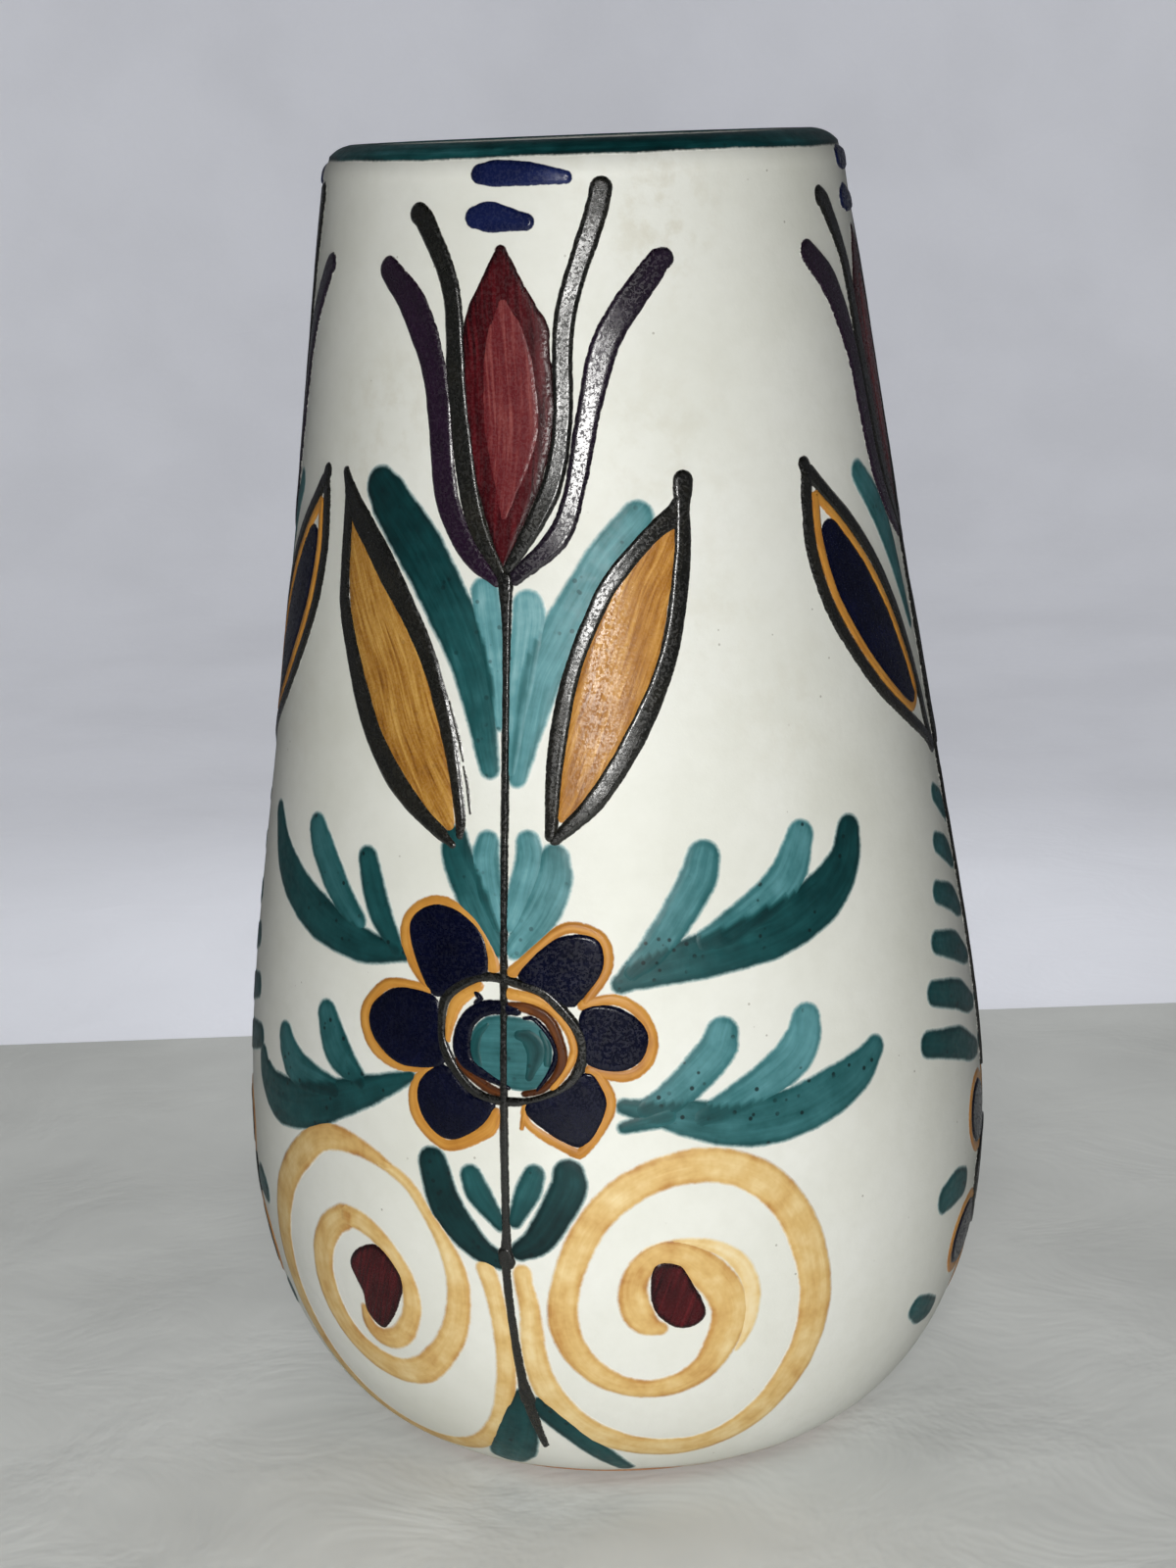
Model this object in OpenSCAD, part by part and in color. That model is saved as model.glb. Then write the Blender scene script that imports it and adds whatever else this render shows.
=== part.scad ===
// A wheel-thrown earthenware flower vase in the talavera manner: a round-bellied
// clay body, a white tin glaze over and inside it, and a flower pattern painted on
// the glaze in raised enamel colours. Millimetres, +Z up, origin at the centre of
// the foot. The first painted panel faces -Y.

/* [Vase shape] */
// Height of the vase, foot to lip
vase_h = 210; // [180:1:260]
// Diameter of the foot that it stands on
foot_d = 71; // [58:1:84]
// Diameter at the widest point of the belly
belly_d = 123.5; // [112:0.5:150]
// Height of the widest point above the foot
belly_h = 49; // [42:1:62]
// Diameter at the top of the neck, just under the lip
mouth_d = 82; // [72:1:98]
// Radius of the rounded outer edge of the lip
lip_round = 5.2; // [3.5:0.1:5.5]

/* [Clay] */
// Thickness of the clay wall
wall = 5; // [4.5:0.1:7]
// Thickness of the clay floor
floor_t = 6.5; // [5:0.1:10]
// Width of the ring that it stands on
foot_ring_w = 7; // [5:0.5:12]
// Depth of the hollow under the foot
foot_hollow = 2.5; // [1:0.1:4]
// Height of the bare clay left above the table
bare_foot_h = 1.6; // [1.2:0.1:2.5]

/* [Glaze and enamel] */
// Thickness of the white glaze
glaze_t = 0.8; // [0.5:0.05:1.1]
// Height that the enamel stands above the glaze
enamel_t = 0.5; // [0.3:0.05:0.9]
// Where the lip's green band starts, in degrees up the lip's round
rim_band_from = 38; // [30:1:55]
// Width of a stem
stem_w = 1.5; // [1.2:0.1:2.2]
// Width of the dashes under the lip
dash_w = 3.8; // [2.8:0.1:4.2]
// Width of the tulip
tulip_w = 13.8; // [12:0.1:15]
// Width of the inner sepals beside the tulip
sepal_w = 3.4; // [2.8:0.1:3.8]
// Width of the broadest green strokes
green_w = 7; // [5.6:0.1:7.6]
// Width of an outlined leaf
leaf_w = 15.7; // [13.5:0.1:17]
// Width of the dark line round a leaf
leaf_line_w = 2.8; // [1.8:0.1:3]
// Width of the dark ring round a flower's eye
flower_w = 24.4; // [22:0.1:25.5]
// Width of the ochre line round a petal
petal_line_w = 1.8; // [1.2:0.1:2]
// Width of a scroll's line
scroll_w = 4.4; // [3:0.1:4.8]

/* [Hidden] */

$fn = 128;
BODY_STEPS = 9;       // straight facets of the profile, foot to belly and belly to lip
LIP_STEPS = 4;        // facets of the lip's round
STROKE_STEPS = 3;     // sides of a stroke's edge between two of its points
CAP_STEPS = 4;        // sides of a stroke's round end
ELLIPSE_STEPS = 28;   // sides of a painted oval

// Each panel is painted by hand, so the four don't stand exactly square.
TULIP_TURNS = [0, 184];
BLUE_TURNS = [94, -80];
ALL_TURNS = concat(TULIP_TURNS, BLUE_TURNS);

foot_r = foot_d / 2;
belly_r = belly_d / 2;
mouth_r = mouth_d / 2;
neck_h = vase_h - lip_round;
full_t = wall + 2 * glaze_t;           // clay with glaze on both sides
lip_r = mouth_r - lip_round;           // the lip's crest
inner_round = full_t - lip_round;      // round of the lip's inner edge
floor_top = foot_hollow + floor_t;

// ---- Profile: two cubic curves and the lip's round ----

// Handles of the two curves, as shares of the step they cross
FOOT_FLARE = 0.36;
BOWL_ROUND = 0.70;
SHOULDER_ROUND = 0.20;
TAPER_IN = 0.69;

function bezier(p, t) =
    pow(1 - t, 3) * p[0] + 3 * t * pow(1 - t, 2) * p[1] + 3 * t * t * (1 - t) * p[2] + t * t * t * p[3];
function bezier_way(p, t) =
    pow(1 - t, 2) * (p[1] - p[0]) + 2 * t * (1 - t) * (p[2] - p[1]) + t * t * (p[3] - p[2]);

BOWL = [
    [foot_r, 0],
    [foot_r + FOOT_FLARE * (belly_r - foot_r), 0],
    [belly_r, belly_h * (1 - BOWL_ROUND)],
    [belly_r, belly_h]
];
TAPER = [
    [belly_r, belly_h],
    [belly_r, belly_h + SHOULDER_ROUND * (neck_h - belly_h)],
    [mouth_r + TAPER_IN * (belly_r - mouth_r), neck_h - TAPER_IN * (neck_h - belly_h)],
    [mouth_r, neck_h]
];

// A point of a curve, moved out along the curve's normal by d
function beside(p, t, d) =
    let (w = bezier_way(p, t)) bezier(p, t) + d * [w.y, -w.x] / norm(w);

// The vase's outline from foot to the lip's crest, d outside the glaze
function outside(d) = concat(
    [for (i = [0:BODY_STEPS - 1]) beside(BOWL, i / BODY_STEPS, d)],
    [for (i = [0:BODY_STEPS]) beside(TAPER, i / BODY_STEPS, d)],
    [for (i = [1:LIP_STEPS]) let (a = 90 * i / LIP_STEPS)
        [lip_r, neck_h] + (lip_round + d) * [cos(a), sin(a)]]
);

// The hollow's outline from the lip's crest down to the foot, d into the wall
function inside(d) = concat(
    [for (i = [0:LIP_STEPS]) let (a = 90 + 90 * i / LIP_STEPS)
        [lip_r, vase_h - inner_round] + (inner_round - d) * [cos(a), sin(a)]],
    [for (i = [BODY_STEPS - 1:-1:0]) beside(TAPER, i / BODY_STEPS, d - full_t)],
    [for (i = [BODY_STEPS - 1:-1:1]) beside(BOWL, i / BODY_STEPS, d - full_t)]
);

function reversed(list) = [for (i = [len(list) - 1:-1:0]) list[i]];

GLAZED = outside(0);
RADIUS_AT = [for (p = GLAZED) [p.y, p.x]];
function radius_at(z) = lookup(z, RADIUS_AT);

// ---- Revolved layers ----

// Everything inside the outline that lies d outside the glaze
module filled(d) {
    path = outside(d);
    polygon(concat([[0, path[0].y]], path, [[0, path[len(path) - 1].y]]));
}

// The hollow, grown by d into the clay, down to the floor
module hollow(d) {
    path = inside(d);
    above = vase_h + lip_round;
    intersection() {
        polygon(concat([[0, above], [lip_r, above]], path, [[0, path[len(path) - 1].y]]));
        translate([0, floor_top - d + glaze_t]) square([belly_r, 2 * vase_h]);
    }
}

module clay_body() {
    color("sienna") rotate_extrude() difference() {
        union() {
            filled(-glaze_t);
            intersection() {
                filled(0);
                square([belly_r, bare_foot_h]);
            }
        }
        hollow(glaze_t);
        translate([0, -1]) square([foot_r - foot_ring_w, foot_hollow + 1]);
    }
}

module outer_glaze() {
    color("ivory") rotate_extrude() intersection() {
        polygon(concat(outside(0), reversed(outside(-glaze_t))));
        translate([0, bare_foot_h]) square([belly_r + 1, vase_h]);
    }
}

module inner_glaze() {
    color("ivory") rotate_extrude() difference() {
        hollow(glaze_t);
        hollow(0);
        translate([0, vase_h - inner_round]) square([lip_r - inner_round, vase_h]);
        translate([0, vase_h]) square([belly_r, vase_h]);
    }
}

module rim_band() {
    a0 = rim_band_from;
    steps = 2 * LIP_STEPS;
    turn = [for (i = [0:steps]) let (a = a0 + (90 - a0) * i / steps) [cos(a), sin(a)]];
    color("teal") rotate_extrude() difference() {
        polygon(concat(
            [[lip_r, neck_h]],
            [for (t = turn) [lip_r, neck_h] + (lip_round + enamel_t) * t]
        ));
        filled(0);
    }
}

// ---- Brush strokes ----
// A painted place is [degrees from the panel's axis, percent of the vase's height].
// A stroke is [width in mm, shape, places along its middle].

// How a stroke's width runs along it, as shares of its full width
COMMA = [[0, 0.8], [0.3, 1], [0.6, 0.9], [1, 0.36]];
SEPAL = [[0, 0.68], [0.25, 0.92], [0.5, 1], [0.8, 0.85], [1, 0.3]];
TAIL = [[0, 0.9], [0.5, 0.8], [0.75, 1.1], [1, 0.7]];
LEAF = [[0, 0.15], [0.1, 0.33], [0.25, 0.7], [0.45, 1], [0.7, 0.92], [0.86, 0.5], [1, 0.14]];
PETAL = [[0, 0.05], [0.1, 0.5], [0.2, 0.84], [0.4, 1], [0.6, 0.96], [0.8, 0.65], [0.92, 0.28], [1, 0.04]];
EVEN = [[0, 0.9], [0.1, 1], [1, 1]];

function mm_per_degree(h) = radius_at(h * vase_h / 100) * PI / 180;
function to_mm(v, h) = [v.x * mm_per_degree(h), v.y * vase_h / 100];
function moved(p, mm) = [p.x + mm.x / mm_per_degree(p.y), p.y + mm.y * 100 / vase_h];
function mirrored(s) = [s[0], s[1], [for (p = s[2]) [-p.x, p.y]]];
function both_sides(list) = concat(list, [for (s = list) mirrored(s)]);

// A smooth curve through the places
function smooth(p) =
    let (n = len(p) - 1)
    concat(
        [for (i = [0:n - 1], k = [0:STROKE_STEPS - 1])
            let (
                t = k / STROKE_STEPS,
                a = i > 0 ? p[i - 1] : 2 * p[0] - p[1],
                b = p[i],
                c = p[i + 1],
                d = i < n - 1 ? p[i + 2] : 2 * p[n] - p[n - 1]
            )
            (2 * b + (c - a) * t + (2 * a - 5 * b + 4 * c - d) * t * t
                + (3 * b - a - 3 * c + d) * t * t * t) / 2],
        [p[n]]
    );

// A stroke's middle line, its directions and its half widths, place by place
function track(stroke) =
    let (c = smooth(stroke[2]), m = len(c) - 1)
    [
        c,
        [for (i = [0:m]) let (v = to_mm(c[min(i + 1, m)] - c[max(i - 1, 0)], c[i].y)) v / norm(v)],
        [for (i = [0:m]) stroke[0] / 2 * lookup(i / m, stroke[1])]
    ];
function to_side(t, i, w) = moved(t[0][i], w * [t[1][i].y, -t[1][i].x]);
function round_end(t, i, sign) =
    [for (k = [1:CAP_STEPS - 1]) let (a = 180 * k / CAP_STEPS - 90)
        moved(t[0][i], sign * t[2][i] * (cos(a) * t[1][i] - sin(a) * [t[1][i].y, -t[1][i].x]))];

// The closed edge of a stroke
function edge(stroke) =
    let (t = track(stroke), m = len(t[0]) - 1)
    concat(
        [for (i = [0:m]) to_side(t, i, t[2][i])],
        round_end(t, m, 1),
        [for (i = [m:-1:0]) to_side(t, i, -t[2][i])],
        round_end(t, 0, -1)
    );

// The pointed inside of an outlined leaf, a line's width in from its edge
function core(stroke, line) =
    let (
        t = track(stroke),
        wide = [for (i = [0:len(t[2]) - 1]) if (t[2][i] > line + 0.2) i],
        a = wide[0],
        b = wide[len(wide) - 1],
        tip_a = (line - t[2][a - 1]) / (t[2][a] - t[2][a - 1]),
        tip_b = (line - t[2][b + 1]) / (t[2][b] - t[2][b + 1])
    )
    concat(
        [t[0][a - 1] + tip_a * (t[0][a] - t[0][a - 1])],
        [for (i = wide) to_side(t, i, t[2][i] - line)],
        [t[0][b + 1] + tip_b * (t[0][b] - t[0][b + 1])],
        [for (i = [len(wide) - 1:-1:0]) to_side(t, wide[i], line - t[2][wide[i]])]
    );

// The closed edge of an oval [middle, length, height, tilt], grown by a margin. Its sizes are
// shares of a flower ring's width.
function oval(o, grow = 0) =
    [for (k = [0:ELLIPSE_STEPS - 1])
        let (
            a = 360 * k / ELLIPSE_STEPS,
            u = (o[1] * flower_w / 2 + grow) * cos(a),
            v = (o[2] * flower_w / 2 + grow) * sin(a)
        )
        moved(o[0], [u * cos(o[3]) - v * sin(o[3]), u * sin(o[3]) + v * cos(o[3])])];

function edges(strokes) = [for (s = strokes) edge(s)];

// A revolved skin of enamel between two heights, in front of the axis
module enamel_skin(low, high) {
    last = len(GLAZED) - 1;
    from = max(0, len([for (p = GLAZED) if (p.y <= low) p]) - 2);
    to = min(last, last + 2 - len([for (p = GLAZED) if (p.y >= high) p]));
    outer = outside(enamel_t);
    span = 150;
    rotate([0, 0, -90 - span / 2]) rotate_extrude(angle = span) polygon(concat(
        [for (i = [from:to]) outer[i]],
        [for (i = [to:-1:from]) GLAZED[i]]
    ));
}

// Raised enamel inside the given edges, less what is painted over it. The edges are
// cut straight outward, along the direction of the axis that they are drawn about.
module paint(axis, shapes, over = []) {
    heights = [for (s = shapes, p = s) p.y * vase_h / 100];
    rotate([0, 0, axis]) intersection() {
        rotate([90, 0, 0]) linear_extrude(belly_r + lip_round) difference() {
            for (s = shapes) flat(s, axis);
            for (s = over) flat(s, axis);
        }
        enamel_skin(min(heights), max(heights));
    }
}

module flat(shape, axis) {
    polygon([for (p = shape) let (z = p.y * vase_h / 100) [radius_at(z) * sin(p.x - axis), z]]);
}

module on_panels(turns) {
    for (t = turns) rotate([0, 0, t]) children();
}

// ---- The pattern ----

DASHES = [
    [dash_w, COMMA, [[-4.9, 98], [3, 98], [12.4, 97.6]]],
    [1.1 * dash_w, COMMA, [[-5.6, 95.1], [-1, 95], [4.2, 94.7]]]
];
TULIP = [tulip_w, PETAL, [[-1, 93], [-0.8, 89.5], [0, 85], [0.2, 80], [0, 75], [-0.4, 70.9]]];
INNER_SEPALS = [
    [sepal_w, SEPAL, [[-20, 95.6], [-15, 93.3], [-11.2, 89.3], [-9.9, 84], [-8.6, 79.4], [-5.6, 74.8],
        [-0.5, 70.6]]],
    [sepal_w, SEPAL, [[19.4, 96.6], [16.2, 93.2], [12.2, 89.4], [11, 84.8], [10, 79.6], [6.6, 75.2],
        [0.5, 70.9]]]
];
OUTER_SEPALS = [
    [1.4 * sepal_w, SEPAL, [[-27, 91.7], [-22.4, 90.1], [-17, 87], [-13.8, 83], [-12.4, 78.4],
        [-8.9, 73.6], [-1.4, 70.2]]],
    [1.25 * sepal_w, SEPAL, [[29.4, 91.8], [24.6, 90], [19.8, 87.1], [16.2, 83], [13.8, 79], [9.8, 74],
        [1.4, 70.5]]]
];
TULIP_STEM = [stem_w, TAIL, [[0, 70], [0.1, 58], [-0.1, 46], [-0.2, 32], [-0.5, 22.3], [0, 12.6], [1.2, 5]]];
BLUE_STEM = [stem_w, TAIL, [[0, 70], [0.1, 58], [0.4, 46], [1.6, 34], [3, 27]]];

TULIP_LEAVES = [
    [1.22 * green_w, COMMA, [[-25.6, 76.2], [-19.4, 73.6], [-13, 70.2], [-8.4, 66.8], [-4.8, 62],
        [-2.6, 57.4]]],
    [1.08 * green_w, COMMA, [[23, 74.3], [18.4, 72.2], [13, 69.3], [8.4, 65.9], [4.8, 62], [2.3, 56.8]]],
    [0.7 * green_w, COMMA, [[-3.6, 68.6], [-2.9, 66.4], [-1.8, 63.4]]],
    [0.68 * green_w, COMMA, [[3.9, 68], [3.4, 65.6], [2, 62.8]]],
    [0.76 * green_w, COMMA, [[-8, 51.2], [-7, 49.8], [-4.4, 47.6], [-1.9, 45.4]]],
    [0.66 * green_w, COMMA, [[-2.9, 51.2], [-2.5, 49.4], [-1.2, 46.8]]],
    [0.66 * green_w, COMMA, [[3.7, 51.3], [3.2, 49.4], [1.2, 46.8]]],
    [0.76 * green_w, COMMA, [[7.4, 50.2], [6.4, 48.4], [4.2, 46.6], [2, 45]]]
];
BLUE_PANEL_LEAVES = both_sides([
    [0.77 * green_w, COMMA, [[-19, 75.5], [-14, 73], [-8.5, 69], [-4, 64]]]
]);

TULIP_SIDE_LEAVES = [
    [leaf_w, LEAF, [[-37.2, 77.4], [-32, 71.6], [-25.8, 66.4], [-18.9, 60.4], [-12.6, 55.2], [-8, 51.9]]],
    [0.93 * leaf_w, LEAF, [[32, 76.6], [27.4, 71.8], [21.8, 66.1], [16.3, 61], [11, 55.8], [7.4, 52.4]]]
];
BLUE_SIDE_LEAVES = both_sides([
    [1.08 * leaf_w, LEAF, [[-35.6, 76.4], [-31.2, 71.6], [-25, 67], [-18, 62.6], [-10.5, 58.2],
        [-3.2, 54.2]]]
]);

LEFT_SPRIGS = [
    [0.98 * green_w, COMMA, [[-52.8, 49.8], [-46, 47.5], [-38, 45.8], [-29, 44.8], [-21.6, 44.2]]],
    [0.77 * green_w, COMMA, [[-37.4, 50.8], [-35, 49], [-31.5, 47], [-27.8, 45.6]]],
    [0.62 * green_w, COMMA, [[-24.6, 49.8], [-23.6, 48.2], [-21.8, 46.2], [-20.8, 45]]],
    [1.05 * green_w, COMMA, [[-53, 31.2], [-46.6, 30.2], [-38, 31], [-29, 32.4], [-21, 33.9], [-17.8, 34.6]]],
    [0.88 * green_w, COMMA, [[-43, 34.3], [-37, 33.4], [-30.5, 33.1]]],
    [0.85 * green_w, COMMA, [[-31.4, 37], [-29.4, 35.7], [-26, 34.4]]]
];
RIGHT_SPRIGS = [
    [0.98 * green_w, COMMA, [[56.6, 50.1], [51.5, 47.2], [44, 45.5], [35, 44.4], [26, 43.7], [19.4, 42.8]]],
    [0.8 * green_w, COMMA, [[46.6, 50.6], [43.7, 48.6], [38.5, 46.7], [32, 45.3]]],
    [0.74 * green_w, COMMA, [[30, 50.3], [27.8, 48.2], [24.3, 45.8], [20.6, 43.8]]],
    [0.94 * green_w, COMMA, [[56.4, 34.6], [50.4, 33], [42, 32], [33, 31.9], [25, 32.8], [19.6, 33.5]]],
    [0.81 * green_w, COMMA, [[44.3, 37.6], [43, 36.2], [39.5, 34.8], [34.5, 33.6]]],
    [0.77 * green_w, COMMA, [[30.8, 37.6], [28.9, 36.2], [25.3, 34.8], [21.6, 33.8]]]
];

// The blue panels' fern: rungs that lengthen down the stem
FERN_RUNGS = 6;
FERN = both_sides([for (k = [0:FERN_RUNGS - 1])
    let (tip = [-7.2 - 3.4 * k, 50.6 - 3.45 * k], fall = 2.4 + 0.3 * k)
    [(0.54 + 0.035 * k) * green_w, COMMA,
        [tip, tip + [0.45 * -tip.x, -0.4 * fall], [-1.5, tip.y - fall]]]
]);

TULIP_SMALL_LEAVES = [
    [0.7 * green_w, COMMA, [[-11, 28.2], [-10.2, 26.5], [-7.6, 24.4], [-3, 22.9]]],
    [0.55 * green_w, COMMA, [[-5, 28.2], [-4.3, 26.8], [-2.2, 24.8]]],
    [0.5 * green_w, COMMA, [[3.9, 28.5], [3.3, 27.2], [2, 24.9]]],
    [0.68 * green_w, COMMA, [[8.6, 28.1], [8, 26.7], [5.8, 24.8], [2, 23.2]]],
    [0.62 * green_w, COMMA, [[-8.8, 3.4], [-4.8, 5], [-2.4, 7.4], [-0.9, 9.6]]],
    [0.5 * green_w, COMMA, [[12.6, 2.8], [7.4, 4.7], [3.8, 6.7], [1.6, 8.8]]]
];
BLUE_SMALL_LEAVES = [
    [0.83 * green_w, EVEN, [[-20.5, 20.5], [-16.5, 20.6], [-13.2, 20.5]]],
    [0.71 * green_w, EVEN, [[-25, 12.1], [-21.5, 11.2], [-18.2, 10.7]]],
    [0.83 * green_w, EVEN, [[24, 20.5], [21.5, 20.6], [19, 20.5]]],
    [0.66 * green_w, EVEN, [[25, 12], [22.8, 11.4], [20.6, 11]]]
];

// Flowers: [petals, ring, band, eye ring, eye], each an oval
TULIP_FLOWER = [
    [
        [[-9.8, 45.2], 0.55, 0.43, 8], [[8.4, 43.7], 0.49, 0.4, 22],
        [[-16.6, 38.8], 0.54, 0.43, 0], [[15.6, 38.6], 0.42, 0.38, 0],
        [[-7.8, 33.8], 0.5, 0.42, -8], [[8.8, 33.5], 0.48, 0.38, 8]
    ],
    [[0.4, 38.5], 1, 0.8, 0], [[0.4, 38.5], 0.83, 0.64, 0],
    [[0.2, 38], 0.66, 0.54, 0], [[1, 38], 0.47, 0.4, 0]
];
BLUE_FLOWER = [
    [
        [[-3.6, 24.6], 0.49, 0.43, -30], [[10.6, 24.6], 0.49, 0.43, 30],
        [[-9, 15.5], 0.51, 0.43, 12], [[16, 15.5], 0.51, 0.43, -12],
        [[3.5, 10.8], 0.43, 0.43, 0]
    ],
    [[3.5, 18.4], 0.78, 0.72, 0], [[3.5, 18.4], 0.62, 0.56, 0],
    [[3.5, 18.4], 0.47, 0.42, 0], [[3.5, 18.4], 0.31, 0.29, 0]
];
function petals(f) = [for (o = f[0]) oval(o)];
function borders(f) = [for (o = f[0]) oval(o, petal_line_w)];
function whole_flower(f) = concat(borders(f), [oval(f[1])]);

// A scroll, and the dabs of the heart inside it
LEFT_SCROLL = [scroll_w, EVEN, [[-3.9, 20.6], [-3.2, 15], [-5.4, 9.2], [-11.5, 5.6], [-22, 4.2], [-33, 4.4],
    [-43, 8], [-48, 15], [-46.4, 21.6], [-39, 26.6], [-29, 28.4], [-19, 27.2], [-11.6, 23.4],
    [-9.6, 17.4], [-14.5, 12.8], [-23, 11.4], [-32, 13.2], [-35, 17.6], [-32.4, 21.6], [-25.5, 22.9],
    [-19, 20.6], [-18.4, 16], [-23, 14.4]]];
RIGHT_SCROLL = [scroll_w, EVEN, [[3, 20.4], [3.1, 15], [6.2, 9.6], [14, 6.4], [26, 5.5], [36.6, 7.8],
    [43.6, 13.4], [44, 20.6], [38.6, 26.2], [28.4, 28.9], [17.6, 27.4], [9.8, 22.6], [8.4, 16.4],
    [13.8, 12.4], [22, 11.8], [29, 14.4], [30.2, 19], [25.4, 22.4], [19, 21.7], [18, 18.4]]];
LEFT_HEART = [[[-22.8, 19], 0.33, 0.39, 20], [[-23.7, 16.4], 0.22, 0.28, -20], [[-26.2, 19], 0.18, 0.15, 0]];
RIGHT_HEART = [[[22.8, 19.8], 0.26, 0.32, 15], [[24.6, 18.2], 0.24, 0.24, 30]];

// Where the strokes of a wide group are cut straight outward
LEFT_SPRIG_MID = -36;
RIGHT_SPRIG_MID = 38;
SCROLL_MID = 26;

function ovals(list, grow = 0) = [for (o = list) oval(o, grow)];
function cores(leaves, line) = [for (s = leaves) core(s, line)];

// ---- One module for each enamel colour and motif ----

module navy_dashes() {
    color("midnightblue") on_panels(ALL_TURNS) paint(0, edges(DASHES));
}

module inner_sepals() {
    color("darkslategray") on_panels(ALL_TURNS) paint(0, edges(INNER_SEPALS));
}

module outer_sepals() {
    color("indigo") on_panels(ALL_TURNS) paint(0, edges(OUTER_SEPALS), edges(INNER_SEPALS));
}

module tulip_petals() {
    color("firebrick") on_panels(ALL_TURNS) paint(0, [edge(TULIP)], edges(INNER_SEPALS));
}

SEPALS = edges(concat(INNER_SEPALS, OUTER_SEPALS));

module stems() {
    color("black") {
        on_panels(TULIP_TURNS) paint(0, [edge(TULIP_STEM)], SEPALS);
        on_panels(BLUE_TURNS) paint(0, [edge(BLUE_STEM)], concat(SEPALS, whole_flower(BLUE_FLOWER)));
    }
}

module tulip_leaves() {
    color("cadetblue") {
        on_panels(TULIP_TURNS) paint(0, edges(TULIP_LEAVES), concat(
            SEPALS,
            edges(TULIP_SIDE_LEAVES),
            [edge(TULIP_STEM)],
            whole_flower(TULIP_FLOWER)
        ));
        on_panels(BLUE_TURNS) paint(0, edges(BLUE_PANEL_LEAVES), concat(
            SEPALS,
            edges(BLUE_SIDE_LEAVES),
            [edge(BLUE_STEM)]
        ));
    }
}

module side_sprigs() {
    color("teal") on_panels(TULIP_TURNS) {
        paint(LEFT_SPRIG_MID, edges(LEFT_SPRIGS));
        paint(RIGHT_SPRIG_MID, edges(RIGHT_SPRIGS));
    }
}

module fern_strokes() {
    color("teal") on_panels(BLUE_TURNS) paint(0, edges(FERN), [edge(BLUE_STEM)]);
}

module small_leaves() {
    color("darkcyan") {
        on_panels(TULIP_TURNS) paint(0, edges(TULIP_SMALL_LEAVES), [edge(TULIP_STEM)]);
        on_panels(BLUE_TURNS) paint(0, edges(BLUE_SMALL_LEAVES), borders(BLUE_FLOWER));
    }
}

module leaf_outlines() {
    color("darkslategray") {
        on_panels(TULIP_TURNS)
            paint(0, edges(TULIP_SIDE_LEAVES), cores(TULIP_SIDE_LEAVES, leaf_line_w));
        on_panels(BLUE_TURNS)
            paint(0, edges(BLUE_SIDE_LEAVES), cores(BLUE_SIDE_LEAVES, leaf_line_w));
    }
}

module ochre_leaves() {
    color("goldenrod") on_panels(TULIP_TURNS) paint(0, cores(TULIP_SIDE_LEAVES, leaf_line_w));
}

module blue_leaf_borders() {
    color("goldenrod") on_panels(BLUE_TURNS) paint(
        0,
        cores(BLUE_SIDE_LEAVES, leaf_line_w),
        cores(BLUE_SIDE_LEAVES, leaf_line_w + petal_line_w)
    );
}

module blue_leaves() {
    color("midnightblue") on_panels(BLUE_TURNS)
        paint(0, cores(BLUE_SIDE_LEAVES, leaf_line_w + petal_line_w));
}

module flower_petals() {
    color("midnightblue") {
        on_panels(TULIP_TURNS) paint(0, petals(TULIP_FLOWER), [oval(TULIP_FLOWER[1])]);
        on_panels(BLUE_TURNS) paint(0, petals(BLUE_FLOWER), [oval(BLUE_FLOWER[1])]);
    }
}

module petal_borders() {
    color("goldenrod") {
        on_panels(TULIP_TURNS) paint(0, borders(TULIP_FLOWER), concat(
            petals(TULIP_FLOWER),
            [oval(TULIP_FLOWER[1]), edge(TULIP_STEM)]
        ));
        on_panels(BLUE_TURNS)
            paint(0, borders(BLUE_FLOWER), concat(petals(BLUE_FLOWER), [oval(BLUE_FLOWER[1])]));
    }
}

// One round band of a flower's middle: oval n less oval n + 1
module flower_part(n) {
    on_panels(TULIP_TURNS) paint(
        0,
        [oval(TULIP_FLOWER[n])],
        concat(n < 4 ? [oval(TULIP_FLOWER[n + 1])] : [], [edge(TULIP_STEM)])
    );
    on_panels(BLUE_TURNS)
        paint(0, [oval(BLUE_FLOWER[n])], n < 4 ? [oval(BLUE_FLOWER[n + 1])] : []);
}

module flower_rings() {
    color("darkslategray") flower_part(1);
}

module flower_bands() {
    color("peru") flower_part(2);
}

module flower_eye_rings() {
    color("midnightblue") flower_part(3);
}

module flower_eyes() {
    color("teal") flower_part(4);
}

module scrolls() {
    color("khaki") on_panels(TULIP_TURNS) {
        paint(-SCROLL_MID, [edge(LEFT_SCROLL)], ovals(LEFT_HEART));
        paint(SCROLL_MID, [edge(RIGHT_SCROLL)], ovals(RIGHT_HEART));
    }
}

module scroll_hearts() {
    color("maroon") on_panels(TULIP_TURNS) {
        paint(-SCROLL_MID, ovals(LEFT_HEART));
        paint(SCROLL_MID, ovals(RIGHT_HEART));
    }
}

clay_body();
outer_glaze();
inner_glaze();
rim_band();
navy_dashes();
tulip_petals();
inner_sepals();
outer_sepals();
stems();
tulip_leaves();
side_sprigs();
fern_strokes();
small_leaves();
leaf_outlines();
ochre_leaves();
blue_leaf_borders();
blue_leaves();
flower_petals();
petal_borders();
flower_rings();
flower_bands();
flower_eye_rings();
flower_eyes();
scrolls();
scroll_hearts();
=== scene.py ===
# A wheel-thrown talavera flower vase: a satin white glaze over clay, and a flower pattern
# laid on it stroke by stroke in raised enamel. Lengths are in the vase's own millimetres
# (210 from foot to lip) and reach metres through UNIT, which comes from the outer glaze in model.glb.
import math

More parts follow.
